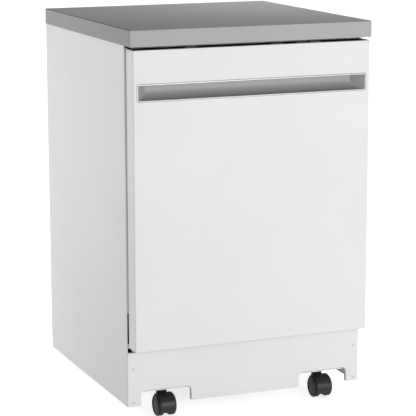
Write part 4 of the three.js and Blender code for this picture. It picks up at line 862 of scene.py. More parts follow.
def scoop_section(low, high, grow):
    """The finger scoop seen from its end, as (depth behind the face, height)."""
    deep, radius, roof = SCOOP_DEEP + grow, SCOOP_ROUND + grow, SCOOP_ROOF + grow
    return ([(0.0, low - grow)] + arc(deep - radius, low - grow + radius, radius, -90, 0, 9)
            + arc(deep - roof, high + grow - roof, roof, 0, 90, 4) + [(0.0, high + grow)])


def make_handle():
    box = node_box("handle_pocket")
    face = node_box("door_outer_panel").y0
    profile = [(0.0, face + 0.4), (0.0, face - 0.12), (0.3, face - 0.3), (1.2, face - 0.58),
               (2.2, face - 0.86), (3.0, box.y0), (3.6, box.y0 + 0.06), (4.3, box.y0 + 0.5),
               (RIM, box.y0 + 1.3), (RIM, face + 2.5)]
    rows = [(inset, max(5.0 - inset, 0.6), y) for inset, y in profile]
    rows += [(RIM - 1.2, 1.0, face + 2.5), (RIM - 1.2, 1.0, face + 0.4)]
    bm = drawn(add_stack, "y", inset_rings(box, rows), closed=True, caps=(False, False))
    mesh_piece("handle_rim", bm, SILVER, "silver_plastic", None, "door", angle=50)

    bm = bmesh.new()
    loops = []
    for grow in (0.0, SCOOP_WALL):
        for _, side in SIDES:
            loop = []
            for depth, z in scoop_section(box.z0 + RIM, box.z1 - RIM, grow):
                lean = SCOOP_SLOPE * min(depth, SCOOP_DEEP) / SCOOP_DEEP
                loop.append(bm.verts.new((side * (box.x1 - RIM + grow - lean), face + 1.0 + depth, z)))
            loops.append(loop)
    in_left, in_right, out_left, out_right = loops
    for a, b in ((in_left, in_right), (out_left, out_right)):
        for n in range(len(a) - 1):
            bm.faces.new((a[n], a[n + 1], b[n + 1], b[n]))
    for loop in loops:
        bm.faces.new(loop)
    for a, b in ((in_left, out_left), (in_right, out_right)):
        bm.faces.new((a[0], a[-1], b[-1], b[0]))
    for end in (0, -1):
        bm.faces.new((in_left[end], in_right[end], out_right[end], out_left[end]))
    corners = [bm.edges.get(pair) for loop in (in_left, in_right) for pair in zip(loop, loop[1:])]
    bmesh.ops.recalc_face_normals(bm, faces=bm.faces)
    bmesh.ops.bevel(bm, geom=corners, offset=SCOOP_END_R, segments=4, profile=0.5, affect="EDGES",
                    clamp_overlap=True)
    # Faces that look left or right, the scoop's end walls, take the lighter copy of the lacquer: painted
    # light.
    for wall in bm.faces:
        wall.material_index = int(abs(wall.normal.x) > 0.4)
    mesh_piece("handle_scoop", bm, (SATIN, SATIN_END_PAINTED_LIGHT), "silver_plastic", "handle_pocket", "door", angle=28)


# ---------------------------------------------------------------- console, buttons and latch
BUTTONS = ("start_button", "cycle_button", "option_button", "power_button")
RIBS = 23
CONSOLE_WALL = 2.0
TONGUE_HALF = 10.0  # opening for the latch


def make_console():
    box, latch = node_box("control_console"), node_box("latch_hook")
    buttons = [node_box(name) for name in BUTTONS]
    made = raw_object("console_moulding", drawn(add_box, box.x0, box.x1, box.y0, box.y1, box.z0, box.z1))
    wall, roof = CONSOLE_WALL, box.z1 - CONSOLE_WALL
    cuts = [drawn(add_box, box.x0 + wall, box.x1 - wall, box.y0 + wall, box.y1 - wall, box.z0 - 1, roof),
            drawn(add_box, -TONGUE_HALF, TONGUE_HALF, box.y1 - 4, box.y1 + 1, box.z0 - 1, roof)]
    for b in buttons:
        for grow, radius, low in ((HAIR, 2.0, box.z0), (3, 3.0, box.z1 - 0.5)):
            outline = round_rect(b.x0 - grow, b.x1 + grow, b.y0 - grow, b.y1 + grow, radius, 3)
            cuts.append(drawn(add_prism, outline, "z", low, box.z1 + 2))
    carve(made, cuts)
    bm = bmesh.new()
    for x in span(RIBS + 2, box.x0, box.x1)[1:-1]:
        if abs(x) >= 20 and not any(b.x0 - 4 < x < b.x1 + 4 for b in buttons):
            add_box(bm, x - 0.7, x + 0.7, box.y0 + 1, box.y1 - 1, box.z0 + 2, box.z1 - 1)
    y = latch.y0 + 2.5
    for _, side in SIDES:
        add_box(bm, *across(side, TONGUE_HALF, TONGUE_HALF + 3), y - 4.5, y + 4.5, latch.z - 4.5, box.z1 - 1)
    ribs = raw_object("console_ribs", bm)
    piece(made, BLACK, "black_plastic", "control_console", "door", width=0.35, angle=40)
    piece(ribs, BLACK, "black_plastic", None, "door", width=0.2, segments=1, angle=40)


def make_buttons():
    for name in BUTTONS:
        box = node_box(name)
        rows = [(0, 1.8, box.z0), (0, 1.8, box.z1 - 0.7)]
        rows += [(inset, max(1.8 - inset * 0.3, 0.5), box.z1 - drop)
                 for inset, drop in ((0.25, 0.2), (0.8, 0.0), (1.6, 0.05), (3.2, 0.35), (4.6, 0.45))]
        bm = drawn(add_stack, "z", inset_rings(box, rows, "xy", 4))
        mesh_piece(f"{name}_cap", bm, PALE_PART, "grey_plastic", name, name, angle=50)


# ---------------------------------------------------------------- door inside
LINER_EDGE = 14.0  # flat border outside the liner's sunk field


def make_inner_door():
    box, well = node_box("door_inner_panel"), node_box("detergent_dispenser")
    face, edge = box.y1, LINER_EDGE
    rows = [(1.0, 3.0, face - 4.6), (1.0, 3.0, box.y0), (0.0, 4.0, box.y0), (0.0, 4.0, face - 1.4),
            (0.5, 4.0, face - 0.4), (1.5, 4.0, face), (edge, 10.0, face), (edge + 2, 10.0, face - 0.3),
            (edge + 6, 12.0, face - 3.0), (edge + 8, 12.0, face - 3.4), (edge + 30, 20.0, face - 3.4),
            (edge + 32, 20.0, face - 3.2), (edge + 37, 22.0, face - 0.4), (edge + 39, 22.0, face - 0.1)]
    made = raw_object("door_liner", drawn(add_stack, "y", inset_rings(box, rows)))
    hole = inset_rings(well, [(6.7, 5.0, box.y0 - 5), (6.7, 5.0, face + 5)])
    top = node_box("left_hinge_arm").z0 + ARM_SLOT_RISE
    carve(made, [drawn(add_stack, "y", hole)] + arm_slots(box.y0 - 5, face + 5, box.z0 - 5, top))
    piece(made, DOOR_STEEL, "stainless", "door_inner_panel", "door", angle=30)


def make_dispenser():
    box, lid, cap = node_box("detergent_dispenser"), node_box("dispenser_lid"), node_box("rinse_aid_cap")
    panel = node_box("door_inner_panel").y1
    face = panel + 2.5
    x, z = lid.x, cap.z
    rows = [(7, 5.0, box.y0), (7, 5.0, panel), (0, 8.0, panel), (0, 8.0, face - 1.2), (0.4, 8.0, face - 0.4),
            (1.4, 7.0, face)]
    made = raw_object("dispenser_body", drawn(add_stack, "y", inset_rings(box, rows)))
    cup = [(round_rect(x - half, x + half, z - half + 5, z + half - 5, radius), y)
           for half, radius, y in ((27, 6.0, face - 20), (29, 6.0, face - 17), (30, 5.0, face + 1))]
    carve(made, [drawn(add_stack, "y", cup), drawn(add_lathe, rod(8.6, face - 20, face + 1), "y", cap.x, z)])
    ears = bmesh.new()
    pin_z = lid.z0 + 1.5
    outline = arc(face + 1.8, pin_z, 2.8, -90, 90, 8) + [(panel, pin_z + 2.8), (panel, pin_z - 2.8)]
    for _, side in SIDES:
        near = x + side * ((lid.x1 - lid.x0) / 2 - 2.7)
        add_prism(ears, outline, "x", *sorted((near, near + side * 3)))
    mesh_piece("dispenser_ears", ears, GREY_PART, "grey_plastic", None, "door", width=0.2)
    piece(made, GREY_PART, "grey_plastic", "detergent_dispenser", "door", width=0.3, angle=40)

    low = pin_z + 1.0
    front = lid.y1
    rows = ((3.2, 0, 4.0, lid.y0), (3.0, 0, 4.0, lid.y0 + 0.4), (3.0, 0, 4.0, front - 0.9),
            (3.5, 0.5, 3.5, front - 0.2), (4.6, 1.6, 3.0, front), (9, 8, 3.0, front),
            (10, 9, 3.0, front - 0.8))
    rings = [(round_rect(lid.x0 + dx, lid.x1 - dx, low + dz, lid.z1 - dz, radius), y)
             for dx, dz, radius, y in rows]
    bm = drawn(add_stack, "y", rings)
    pin = [(0, lid.x0), (1.15, lid.x0), (1.15, lid.x0 + 3), (1.5, lid.x0 + 3.2), (1.5, lid.x1 - 3.2),
           (1.15, lid.x1 - 3), (1.15, lid.x1), (0, lid.x1)]
    add_lathe(bm, pin, "x", lid.y, pin_z, 16)
    mesh_piece("dispenser_lid_flap", bm, GREY_PART, "grey_plastic", "dispenser_lid", "dispenser_lid",
               angle=40)

    radius, top = (cap.x1 - cap.x0) / 2, cap.y1 - 3.0
    knurl = [(c * (radius - (0 if n % 3 else 0.5)), s * (radius - (0 if n % 3 else 0.5)))
             for n, (c, s) in enumerate(disc(1, 72))]
    wide, small = ([(cap.x + a * share, z + b * share) for a, b in knurl] for share in (1, 0.93))
    bm = drawn(add_stack, "y", [(wide, cap.y0 + 10.3), (wide, top - 0.8), (small, top)])
    foot = [(0, cap.y0), (7.4, cap.y0), (8.0, cap.y0 + 0.6), (8.0, cap.y0 + 10.5), (0, cap.y0 + 10.5)]
    add_lathe(bm, foot, "y", cap.x, z)
    grip, thin = ([(cap.x - a, z - b), (cap.x + a, z - b), (cap.x + a, z + b), (cap.x - a, z + b)]
                  for a, b in ((10.4, 2), (9.6, 1.3)))
    add_stack(bm, "y", [(grip, top - 0.5), (grip, cap.y1 - 0.8), (thin, cap.y1)])
    mesh_piece("rinse_aid_cap_knob", bm, BLACK, "black_plastic", "rinse_aid_cap", "rinse_aid_cap", angle=30)


# ---------------------------------------------------------------- tub
TUB_THICK = 2.0
TUB_ROUND = 24.0  # radius of its long corners
SUMP_HOLE = 100.0  # radius
MOUTH_FLANGE = 18.0  # width of the flange round the mouth
BEADS = (60.0, 250.0, 440.0)  # pressed ribs, from the mouth
BEAD_RUN, BEAD_RISE = 16, 0.9  # their width and height
LEDGE_HALF = 252.0  # half its length
LEDGE_TOP = 205.0  # the lower rack rolls on it


def make_tub():
    box = node_box("tub")
    side, top = box.x1 - MOUTH_FLANGE, box.z1 - MOUTH_FLANGE  # outer faces of the walls and the roof
    x, roof, floor = side - TUB_THICK, top - TUB_THICK, box.z0 + TUB_THICK
    front, back = box.y0, box.y1
    sill = box.z0 + 16
    rows = [(x, sill, roof, front), (x, sill, roof, front + 2.5), (x, sill - 2, roof, front + 4.0),
            (x, box.z0 + 5, roof, front + 18.0), (x, floor, roof, front + 26.0)]
    rows += [(x + BEAD_RISE * rise, floor, roof + BEAD_RISE * rise, front + start + BEAD_RUN * share)
             for start in BEADS
             for share, rise in ((0.0, 0.0), (0.25, 0.5), (0.5, 1.0), (0.75, 0.5), (1.0, 0.0))]
    deep = TUB_ROUND * 0.8
    rows += [(x - deep * run, floor + deep * run, roof - deep * run, back - TUB_THICK - deep * rise)
             for rise, run in quarter(6)]
    rings = [(round_rect(box.x0, box.x1, box.z0, box.z1, 6.0, 8), front)]
    rings += [(round_rect(-half, half, z0, z1, TUB_ROUND, 8), y) for half, z0, z1, y in rows]
    made = raw_object("tub_shell", drawn(add_stack, "y", rings, caps=(False, True)))
    thick = made.modifiers.new("thickness", "SOLIDIFY")
    thick.thickness = TUB_THICK * 0.95 * MM
    thick.offset = 1 if outward(made) else -1
    thick.use_even_offset = False
    applied(made)
    cuts = [drawn(add_lathe, rod(SUMP_HOLE, box.z0 - 9, box.z0 + 9), "z", 0, WASH_Y, 72),
            drawn(add_box, -12.0, 12.0, front - 5, front + 5, top + 1, box.z1 - 2)]
    cuts += [drawn(add_box, *across(sign, side + 9, box.x1 + 5), front - 5, front + 5, box.z0 - 5, SLOT_HIGH)
             for _, sign in SIDES]
    carve(made, cuts)
    piece(made, STEEL, "stainless", "tub", angle=30)
    bm = bmesh.new()
    ledge = [(x, LEDGE_TOP - 12), (x - 15, LEDGE_TOP - 6), (x - 15, LEDGE_TOP), (x + 1, LEDGE_TOP)]
    for _, sign in SIDES:
        add_prism(bm, [(sign * a, z) for a, z in ledge][::sign], "y", -LEDGE_HALF, LEDGE_HALF)
    mesh_piece("tub_ledges", bm, STEEL, "stainless", width=1.2, segments=3)


def outward(made):
    """True if the shell's biggest face looks away from its middle."""
    face = max(made.data.polygons, key=lambda f: f.area)
    return face.normal.dot(face.center - Vector((0, 0, 0.52))) > 0


def make_gasket():
    box = node_box("tub_gasket")
    half, thick = 5.0, box.y1 - box.y0
    x, y, top = box.x1 - half, box.y, box.z1 - half
    path = rounded_path([(-x, y, box.z0), (-x, y, top), (x, y, top), (x, y, box.z0)], 26.0, 10)
    section = [(thick / 2 * s, half * c * (1.0 if abs(s) > 0.5 else 0.92)) for c, s in disc(1, 16)]
    bm = drawn(add_sweep, path, section, up=(0, 1, 0))
    mesh_piece("tub_gasket_bulb", bm, RUBBER, "black_rubber", "tub_gasket", angle=60)


def make_rails():
    for name, side in SIDES:
        box = node_box(f"{name}_upper_rail")
        wall = max(abs(box.x0), abs(box.x1))
        edge = wall - (box.x1 - box.x0)
        path = [(edge, box.z0 + 6), (edge, box.z0), (wall, box.z0), (wall, box.z1), (edge, box.z1),
                (edge, box.z1 - 5)]
        bm = drawn(add_prism, folded(path, 2.4, 1.6, side), "y", box.y0, box.y1)
        add_box(bm, *across(side, edge + 3, wall - 1), box.y1 - 2.5, box.y1 - 0.5, box.z0 + 1, box.z1 - 1)
        mesh_piece(f"{name}_rail_channel", bm, RAIL_STEEL, "stainless", f"{name}_upper_rail", angle=30)


# ---------------------------------------------------------------- racks
WIRE_R = 2.2  # the top and bottom loops
FINE_R = 1.7  # all other wires
RACK_BEND = 9.0  # radius at the foot of the walls
LOWER_LEVELS = (222.0, 300.0, 380.0)  # heights of the wire loops
UPPER_LEVELS = (545.0, 600.0, 650.0)
RACK_X = 250.0  # a rack's side wires
LOWER_YS = (-246.0, 250.0)  # its front and back
UPPER_YS = (-240.0, 240.0)
LOWER_ROLLER_R, UPPER_ROLLER_R = 14.0, 9.0
ROLLER_YS = (-135.0, 135.0)
TINE_ROWS = (-125.0, 25.0)
TINES = 14  # in each row
TINE_HIGH = 288.0
PEG_ROWS = (-150.0, -60.0, 60.0, 150.0)
PEG_RISE = 34.0
RAIL_TRACK = 4.0  # from the rail's underside up to where the rollers run


def add_rack_wires(bm, x, y0, y1, levels, crosswise, along):
    """A loop of wire at each level, and finer wires that run along the bottom and up the walls."""
    low, high = levels[0], levels[-1]
    for z in levels:
        corners = [(-x, 0, z), (-x, y1, z), (x, y1, z), (x, y0, z), (-x, y0, z), (-x, 0, z)]
        path = rounded_path(corners, RACK_BEND * 1.6)[:-1]
        add_sweep(bm, path, disc(WIRE_R if z in (low, high) else FINE_R, 8), closed=True)
    side, end = x - WIRE_R * 0.6, WIRE_R * 0.6
    bows = [[(-side, y), (side, y)] for y in span(crosswise, y0 + 24, y1 - 24)]
    bows += [[(a, y0 + end), (a, y1 - end)] for a in span(along, -x + 30, x - 30)]
    for first, last in bows:
        add_wire(bm, [(*first, high), (*first, low), (*last, low), (*last, high)], FINE_R, RACK_BEND)


def add_rollers(bm, box, radius, surface, lug_top):
    """Rollers with a hub and a tyre groove, each on a plastic clip over the rack's side wires."""
    z = surface + HAIR + radius
    for _, side in SIDES:
        far, near, inner = side * box.x1, side * (box.x1 - 9), side * RACK_X
        tyre = [(radius * 0.4, 0), (radius * 0.42, 1), (radius - 2, 1.4), (radius - 1, 0), (radius, 1),
                (radius, 3.4), (radius - 0.8, 4.1), (radius - 0.8, 4.9), (radius, 5.6)]
        hub = [(radius, 1), (radius - 1, 0), (radius * 0.55, 0.6), (radius * 0.4, 0.2), (0, 0)]
        profile = [(0, near)] + [(r, near + side * along) for r, along in tyre]
        profile += [(r, far - side * along) for r, along in hub]
        for y in ROLLER_YS:
            add_lathe(bm, profile, "x", y, z, 28, material=1)
            add_lathe(bm, rod(2.2, inner, near), "x", y, z, 12, material=1)
            clip = round_rect(y - 9, y + 9, z - 5, lug_top, 3.0, 3)
            add_prism(bm, clip, "x", *sorted((inner - side * 2.6, inner + side * 2.4)), material=1)


def make_lower_rack():
    (y0, y1), low = LOWER_YS, LOWER_LEVELS[0]
    bm = drawn(add_rack_wires, RACK_X, y0, y1, LOWER_LEVELS, 12, 10)
    ys = span(TINES, y0 + 34, y1 - 34)
    foot = low + 2
    for x in TINE_ROWS:
        for a, b in zip(ys[::2], ys[1::2]):
            add_wire(bm, [(x, a, TINE_HIGH), (x, a, foot), (x, b, foot), (x, b, TINE_HIGH)], FINE_R, 6.0)
        add_wire(bm, [(x + 3, y0 + 4, low + 2.5), (x + 3, y1 - 4, low + 2.5)], FINE_R)
    add_rollers(bm, node_box("lower_rack"), LOWER_ROLLER_R, LEDGE_TOP, low + 6)
    mesh_piece("lower_rack_wires", bm, (COATING, PALE_PART), "rack_coating", "lower_rack",
               "lower_rack", angle=50)


def make_upper_rack():
    (y0, y1), low = UPPER_YS, UPPER_LEVELS[0]
    bm = drawn(add_rack_wires, RACK_X, y0, y1, UPPER_LEVELS, 11, 12)
    for x in PEG_ROWS:
        for y in span(7, y0 + 40, y1 - 40):
            add_wire(bm, [(x, y - 8, low + 1), (x, y, low + PEG_RISE), (x, y + 8, low + 1)], FINE_R, 4.0)
    track = node_box("left_upper_rail").z0 + RAIL_TRACK
    add_rollers(bm, node_box("upper_rack"), UPPER_ROLLER_R, track, UPPER_LEVELS[1] + 4)
    mesh_piece("upper_rack_wires", bm, (COATING, PALE_PART), "rack_coating", "upper_rack",
               "upper_rack", angle=50)


def make_basket():
    box = node_box("cutlery_basket")
    wall, foot = 2.4, box.z0
    rim = foot + 112
    x0, x1, y0, y1 = box.x0, box.x1, box.y0, box.y1
    cell = (y1 - y0) / 3
    bm = bmesh.new()
    for z0, z1 in ((foot, foot + 9), (foot + 40, foot + 46), (foot + 72, foot + 78), (rim - 8, rim)):
        add_box(bm, x0, x1, y0, y0 + wall, z0, z1)
        add_box(bm, x0, x1, y1 - wall, y1, z0, z1)
        add_box(bm, x0, x0 + wall, y0, y1, z0, z1)
        add_box(bm, x1 - wall, x1, y0, y1, z0, z1)
    for y in span(31, y0, y1 - wall):
        for a, b in ((x0 + 0.3, x0 + wall - 0.3), (x1 - wall + 0.3, x1 - 0.3)):
            add_box(bm, a, b, y, y + wall, foot + 1, rim - 1)
    for x in span(9, x0, x1 - wall)[1:-1]:
        for a, b in ((y0 + 0.3, y0 + wall - 0.3), (y1 - wall + 0.3, y1 - 0.3)):
            add_box(bm, x, x + wall, a, b, foot + 1, rim - 1)
    for n in (1, 2):
        y = y0 + cell * n - wall / 2
        add_box(bm, x0 + 1, x1 - 1, y, y + wall, foot + 1, rim - 3)
    for x in span(9, x0 + 2, x1 - 2 - wall):
        add_box(bm, x, x + wall, y0 + 1, y1 - 1, foot + 0.4, foot + 2.4)
    for y in span(31, y0 + 1, y1 - 1 - wall):
        add_box(bm, x0 + 1, x1 - 1, y, y + wall, foot, foot + 2)
    x, grip, end, low = box.x, box.z1 - 3.6, cell / 2, rim - 12
    handle = rounded_path([(x, -end, low), (x, -end, grip), (x, end, grip), (x, end, low)], 12.0, 6)
    add_sweep(bm, handle, round_rect(-1.6, 1.6, -5, 5, 1.4, 2))
    mesh_piece("cutlery_basket_lattice", bm, GREY_PART, "grey_plastic", "cutlery_basket", "cutlery_basket",
               width=0.3, segments=1, angle=40)


# ---------------------------------------------------------------- wash system
def add_radial_ribs(bm, count, shift, x, near, far, half, low, high, keep=lambda c, s: True):
    """Upright ribs round the axis at (x, WASH_Y), from one radius to another."""
    for n in range(count):
        a = TAU * (n + shift) / count
        c, s = math.cos(a), math.sin(a)
        if keep(c, s):
            corners = [(x + c * r - s * t, WASH_Y + s * r + c * t)
                       for r, t in ((near, -half), (far, -half), (far, half), (near, half))]
            add_prism(bm, corners, "z", low, high)


def make_sump():
    box, cup = node_box("sump_housing"), node_box("filter_cup")
    bowl, wall, flange = 96.0, 3.0, 112.0  # radii and thickness
    low, high, tower = box.z0, box.z0 + 60, box.z1
    inner = bowl - wall
    pot = [(0, low + wall), (inner - 8, low + wall), (inner, low + wall + 8), (inner, high - 1),
           (bowl + 2, high), (flange - 1, high), (flange, high - 1), (flange, high - wall),
           (bowl, high - wall), (bowl, low + 10), (bowl - 8, low), (0, low)]
    bm = drawn(add_lathe, pot, "z", 0, WASH_Y, 72)
    add_radial_ribs(bm, 12, 0.5, 0, bowl - 1, 108.0, 1.2, low + 12, high - wall + 0.5,
                    lambda c, s: abs(s) >= 0.35)  # none where the pumps join
    add_lathe(bm, [(0, low + 2), (17, low + 2), (17, tower - 15), (16, tower - 14.3), (12.4, tower - 14.3),
                   (11.8, tower - 13), (11.8, tower - 1.5), (10.5, tower), (0, tower)], "z", 0, WASH_Y, 40)
    for side, radius, bore in ((1, 18.0, 14.0), (-1, 12.0, 8.0)):
        start, far = bowl - 6, 110.0
        spout = [(bore, start), (radius - 1.5, start), (radius - 1.5, far - 7), (radius, far - 5.5),
                 (radius, far - 3), (radius - 1.5, far), (bore, far)]
        add_lathe(bm, [(r, side * along) for r, along in spout], "x", WASH_Y, low + 20, 32, closed=True)
    mesh_piece("sump_moulding", bm, GREY_PART, "grey_plastic", "sump_housing")
    plate = [(17.5, high - 6), (inner - 0.5, high - 2.5), (inner - 0.5, high - 1.5), (17.5, high - 5)]
    made = raw_object("filter_plate", drawn(add_lathe, plate, "z", 0, WASH_Y, 72, closed=True))
    hole = (cup.x1 - cup.x0) / 2 - 3.4
    carve(made, [drawn(add_lathe, rod(hole, low, tower), "z", cup.x, WASH_Y, 48)])
    piece(made, MESH, "stainless")


def make_filter_cup():
    box = node_box("filter_cup")
    x, foot, top = box.x, box.z0, box.z1 - 10.0
    rim = (box.x1 - box.x0) / 2
    body = rim - 4.3
    bm = drawn(add_lathe, [(0, foot + 2), (body - 2.2, foot + 2), (body - 1.8, top - 1), (rim - 3, top - 0.2),
                           (rim - 0.8, top), (rim, top - 0.8), (rim, top - 2.6), (body, top - 2.8),
                           (body, foot + 1), (body - 1, foot), (0, foot)], "z", x, WASH_Y, 56)
    add_radial_ribs(bm, 28, 0, x, body - 0.6, body + 0.28, 0.7, foot + 3, top - 3)
    grip = ([(x - body + 1, top - 8), (x - body + 1, top - 2)] + arc(x - 12, box.z1 - 6, 6, 180, 90, 5)
            + arc(x + 12, box.z1 - 6, 6, 90, 0, 5) + [(x + body - 1, top - 2), (x + body - 1, top - 8)])
    add_prism(bm, grip, "y", WASH_Y - 1.8, WASH_Y + 1.8)
    mesh_piece("filter_cup_moulding", bm, GREY_PART, "grey_plastic", "filter_cup", "filter_cup", width=0.3)


def make_pumps():
    for node, side, share, fins in (("circulation_pump", 1, 0.86, 9), ("drain_pump", -1, 0.76, 5)):
        box = node_box(node)
        near, length = (box.x0, box.x1)[::side][0], box.x1 - box.x0
        head = (box.z1 - box.z0) / 2
        motor, neck = head * share, length * 0.26
        profile = [(0, 0), (head - 4, 0), (head - 1, 1), (head, 4), (head, neck - 4), (head - 1, neck - 1),
                   (motor, neck)]
        start, end = neck + 3, length * 0.86
        pitch = (end - start) / fins
        for a in (start + pitch * n for n in range(fins)):
            b = a + pitch / 2
            profile += [(motor, a), (motor, b), (motor - 1.8, b + 0.3), (motor - 1.8, a + pitch)]
        profile += [(motor - 1, end), (motor - 1, length - 3), (motor - 4, length), (0, length)]
        screw = [(0, neck - 1), (2.6, neck - 1), (2.6, neck + 2.5), (1.8, neck + 3.2), (0, neck + 3.2)]
        body, bolt = ([(r, near + side * along) for r, along in rows] for rows in (profile, screw))
        bm = drawn(add_lathe, body, "x", WASH_Y, box.z, 48)
        for n in range(4):
            a = TAU * (n + 0.5) / 4
            y, z = WASH_Y + (head - 4) * math.cos(a), box.z + (head - 4) * math.sin(a)
            add_lathe(bm, bolt, "x", y, z, 6, material=1)
        mesh_piece(f"{node}_body", bm, (BLACK, ZINC), "black_plastic", node)


def make_heater():
    box = node_box("heating_element")
    radius, z = (box.x1 - box.x0) / 2 - 3.5, box.z1 - 4
    gap = math.radians(24)
    ring = [Vector((radius * math.cos(a), WASH_Y + radius * math.sin(a), z))
            for a in span(97, math.pi / 2 + gap / 2, 2.5 * math.pi - gap / 2)]
    first, last = ring[0], ring[-1]
    down, up = ([(end.x, end.y, box.z0 + 2), (end.x, end.y, z - 8), (end.x + lean, end.y, z - 3.2)]
                for end, lean in ((first, -0.8), (last, 0.8)))
    path = down + ring[2:-2] + up[::-1]
    bm = drawn(add_sweep, path, disc(3.9, 14))
    for point in (first, last):
        for r, low, high, steps in ((8, 8, 13.4, 6), (1.6, 0, 3, 12)):
            add_lathe(bm, rod(r, box.z0 + low, box.z0 + high), "z", point.x, point.y, steps, material=1)
    mesh_piece("heater_tube", bm, (SHEATH, BRASS), "heater_sheath", "heating_element", angle=45)


def arm_outline(half, width, tip, inset):
    """A spray arm from above: widest at its middle, with round tips."""
    w, t = width / 2 - inset, tip - inset
    points = arc(half - tip, 0, t, -90, 90, 8) + [(half * 0.3, w * 0.93), (0, w), (-half * 0.3, w * 0.93)]
    points += arc(tip - half, 0, t, 90, 270, 8) + [(-half * 0.3, -w * 0.93), (0, -w), (half * 0.3, -w * 0.93)]
    return [(x, y + WASH_Y) for x, y in points]


def make_spray_arm(node, hub_r, bore_r):
    box = node_box(node)
    half, width = box.x1, box.y1 - box.y0
    low, high = box.z0, box.z1
    rows = ((2.5, low), (0.6, low + 1.2), (0.0, low + 3.0), (0.0, low + 4.4), (1.2, low + 6.2),
            (4.0, high - 1.9), (8.0, high - 1.2))
    rings = [(arm_outline(half, width, width * 0.3, inset), z) for inset, z in rows]
    made = raw_object(f"{node}_blade", drawn(add_stack, "z", rings))
    hub = [(0, low + 1), (hub_r + 3, low + 1), (hub_r + 3, high - 1), (hub_r + 2, high), (0, high)]
    carve(made, [drawn(add_lathe, hub, "z", 0, WASH_Y, 40)], "UNION")
    nozzle = [(0, high - 3), (4.2, high - 3), (3.6, high - 0.4), (3.2, high), (0, high)]
    nozzles, holes = [], []
    for _, side in SIDES:
        for n, share in enumerate((0.3, 0.48, 0.64, 0.78, 0.92)):
            x, y = side * half * share, WASH_Y + side * (3.0 if n % 2 else -3.0)
            nozzles.append(drawn(add_lathe, nozzle, "z", x, y, 20))
            slot = [(x + 2.2 * c, y + 0.9 * s) for c, s in disc(1, 8)]
            holes.append(drawn(add_prism, slot, "z", high - 1.6, high + 1))
    carve(made, nozzles, "UNION")
    carve(made, holes + [drawn(add_lathe, rod(bore_r, low - 2, high + 2), "z", 0, WASH_Y, 40)])
    piece(made, GREY_PART, "grey_plastic", node, node)


def make_feed_tube():
    box = node_box("upper_feed_tube")
    arm_top = node_box("upper_spray_arm").z1
    foot, z, end = box.z0, box.z1 - 7, box.y1 - 3
    path = rounded_path([(0, WASH_Y, foot + 3), (0, WASH_Y, z), (0, end, z)], 12.0, 7)
    bm = drawn(add_sweep, path, disc(6.9, 20))
    flange = [(0, foot), (11.4, foot), (12.0, foot + 0.6), (12.0, foot + 3.4), (11.4, foot + 4),
              (7.9, foot + 4), (7.9, arm_top + 1), (6.9, arm_top + 3), (0, arm_top + 3)]
    add_lathe(bm, flange, "z", 0, WASH_Y, 36)
    for y in (end, end - 4, end - 8):
        add_lathe(bm, [(0, y - 2), (7.0, y - 2), (6.9, y - 0.5), (7.0, y), (0, y)], "y", 0, z, 24)
    for y in (60.0, 150.0):
        add_box(bm, -9, 9, y - 4, y + 4, z + 3, box.z1 - 0.1)
    mesh_piece("feed_tube_moulding", bm, GREY_PART, "grey_plastic", "upper_feed_tube", "upper_rack")


def make_inlet_valve():
    box = node_box("inlet_valve")
    base = box.z0 + 30
    bm = drawn(add_stack, "z", inset_rings(box, [(0, 4.0, box.z0), (0, 4.0, base - 2), (2, 3.0, base)], "xy"))
    profile = [(0, base - 3), (11, base - 3), (11, base + 4)]
    for z in (base + 5 + 3.4 * n for n in range(6)):
        profile += [(12, z), (12, z + 1.2), (10.8, z + 1.9), (10.8, z + 3.2)]
    profile += [(10.8, box.z1 - 1), (10, box.z1), (8, box.z1), (8, box.z1 - 9), (0, box.z1 - 9)]
    add_lathe(bm, profile, "z", box.x, box.y, 36)
    add_box(bm, box.x0 + 4, box.x0 + 10, box.y0 + 1, box.y0 + 4, base - 1, base + 7, material=1)
    mesh_piece("inlet_valve_body", bm, (CREAM, ZINC), "cream_plastic", "inlet_valve")


# ---------------------------------------------------------------- door springs
COILS = 13
SPRING_WIRE_R = 1.1
TURN_STEPS = 12  # points in each coil
HOOK = 7  # height of the straight hook at each end


def make_door_spring(name):
    """An extension spring under the hinge arm's tail, drawn at rest."""
    node = f"{name}_door_spring"
    box = node_box(node)
    x, y, wire = box.x, box.y, SPRING_WIRE_R
    radius = (box.x1 - box.x0) / 2 - wire - 0.1
    low, high, steps = box.z0 + HOOK, box.z1 - HOOK, COILS * TURN_STEPS
    points = [(x, y, box.z0 + wire), (x, y, low - 2)]
    for n, z in enumerate(span(steps + 1, low, high)):
        a = TAU * COILS * n / steps
        points.append((x + radius * math.cos(a), y + radius * math.sin(a), z))
    points += [(x, y, high + 2), (x, y, box.z1 - wire)]
    made = raw_object(f"{node}_coil", drawn(add_sweep, points, disc(wire, 6)))
    made.data.materials.append(SPRING_STEEL)
    for face in made.data.polygons:
        face.use_smooth = True
    box.z0 * MM
    box.z1 * MM
    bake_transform(made)
    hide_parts(node)


# ---------------------------------------------------------------- stage
def seen(tree, other):
    """1 for rays from the camera and for one other kind of ray, and 0 for the rest."""
    rays = tree.nodes.new("ShaderNodeLightPath").outputs
    return add_node(tree, "Math", 0, {0: rays["Is Camera Ray"], 1: rays[other]}, operation="MAXIMUM")


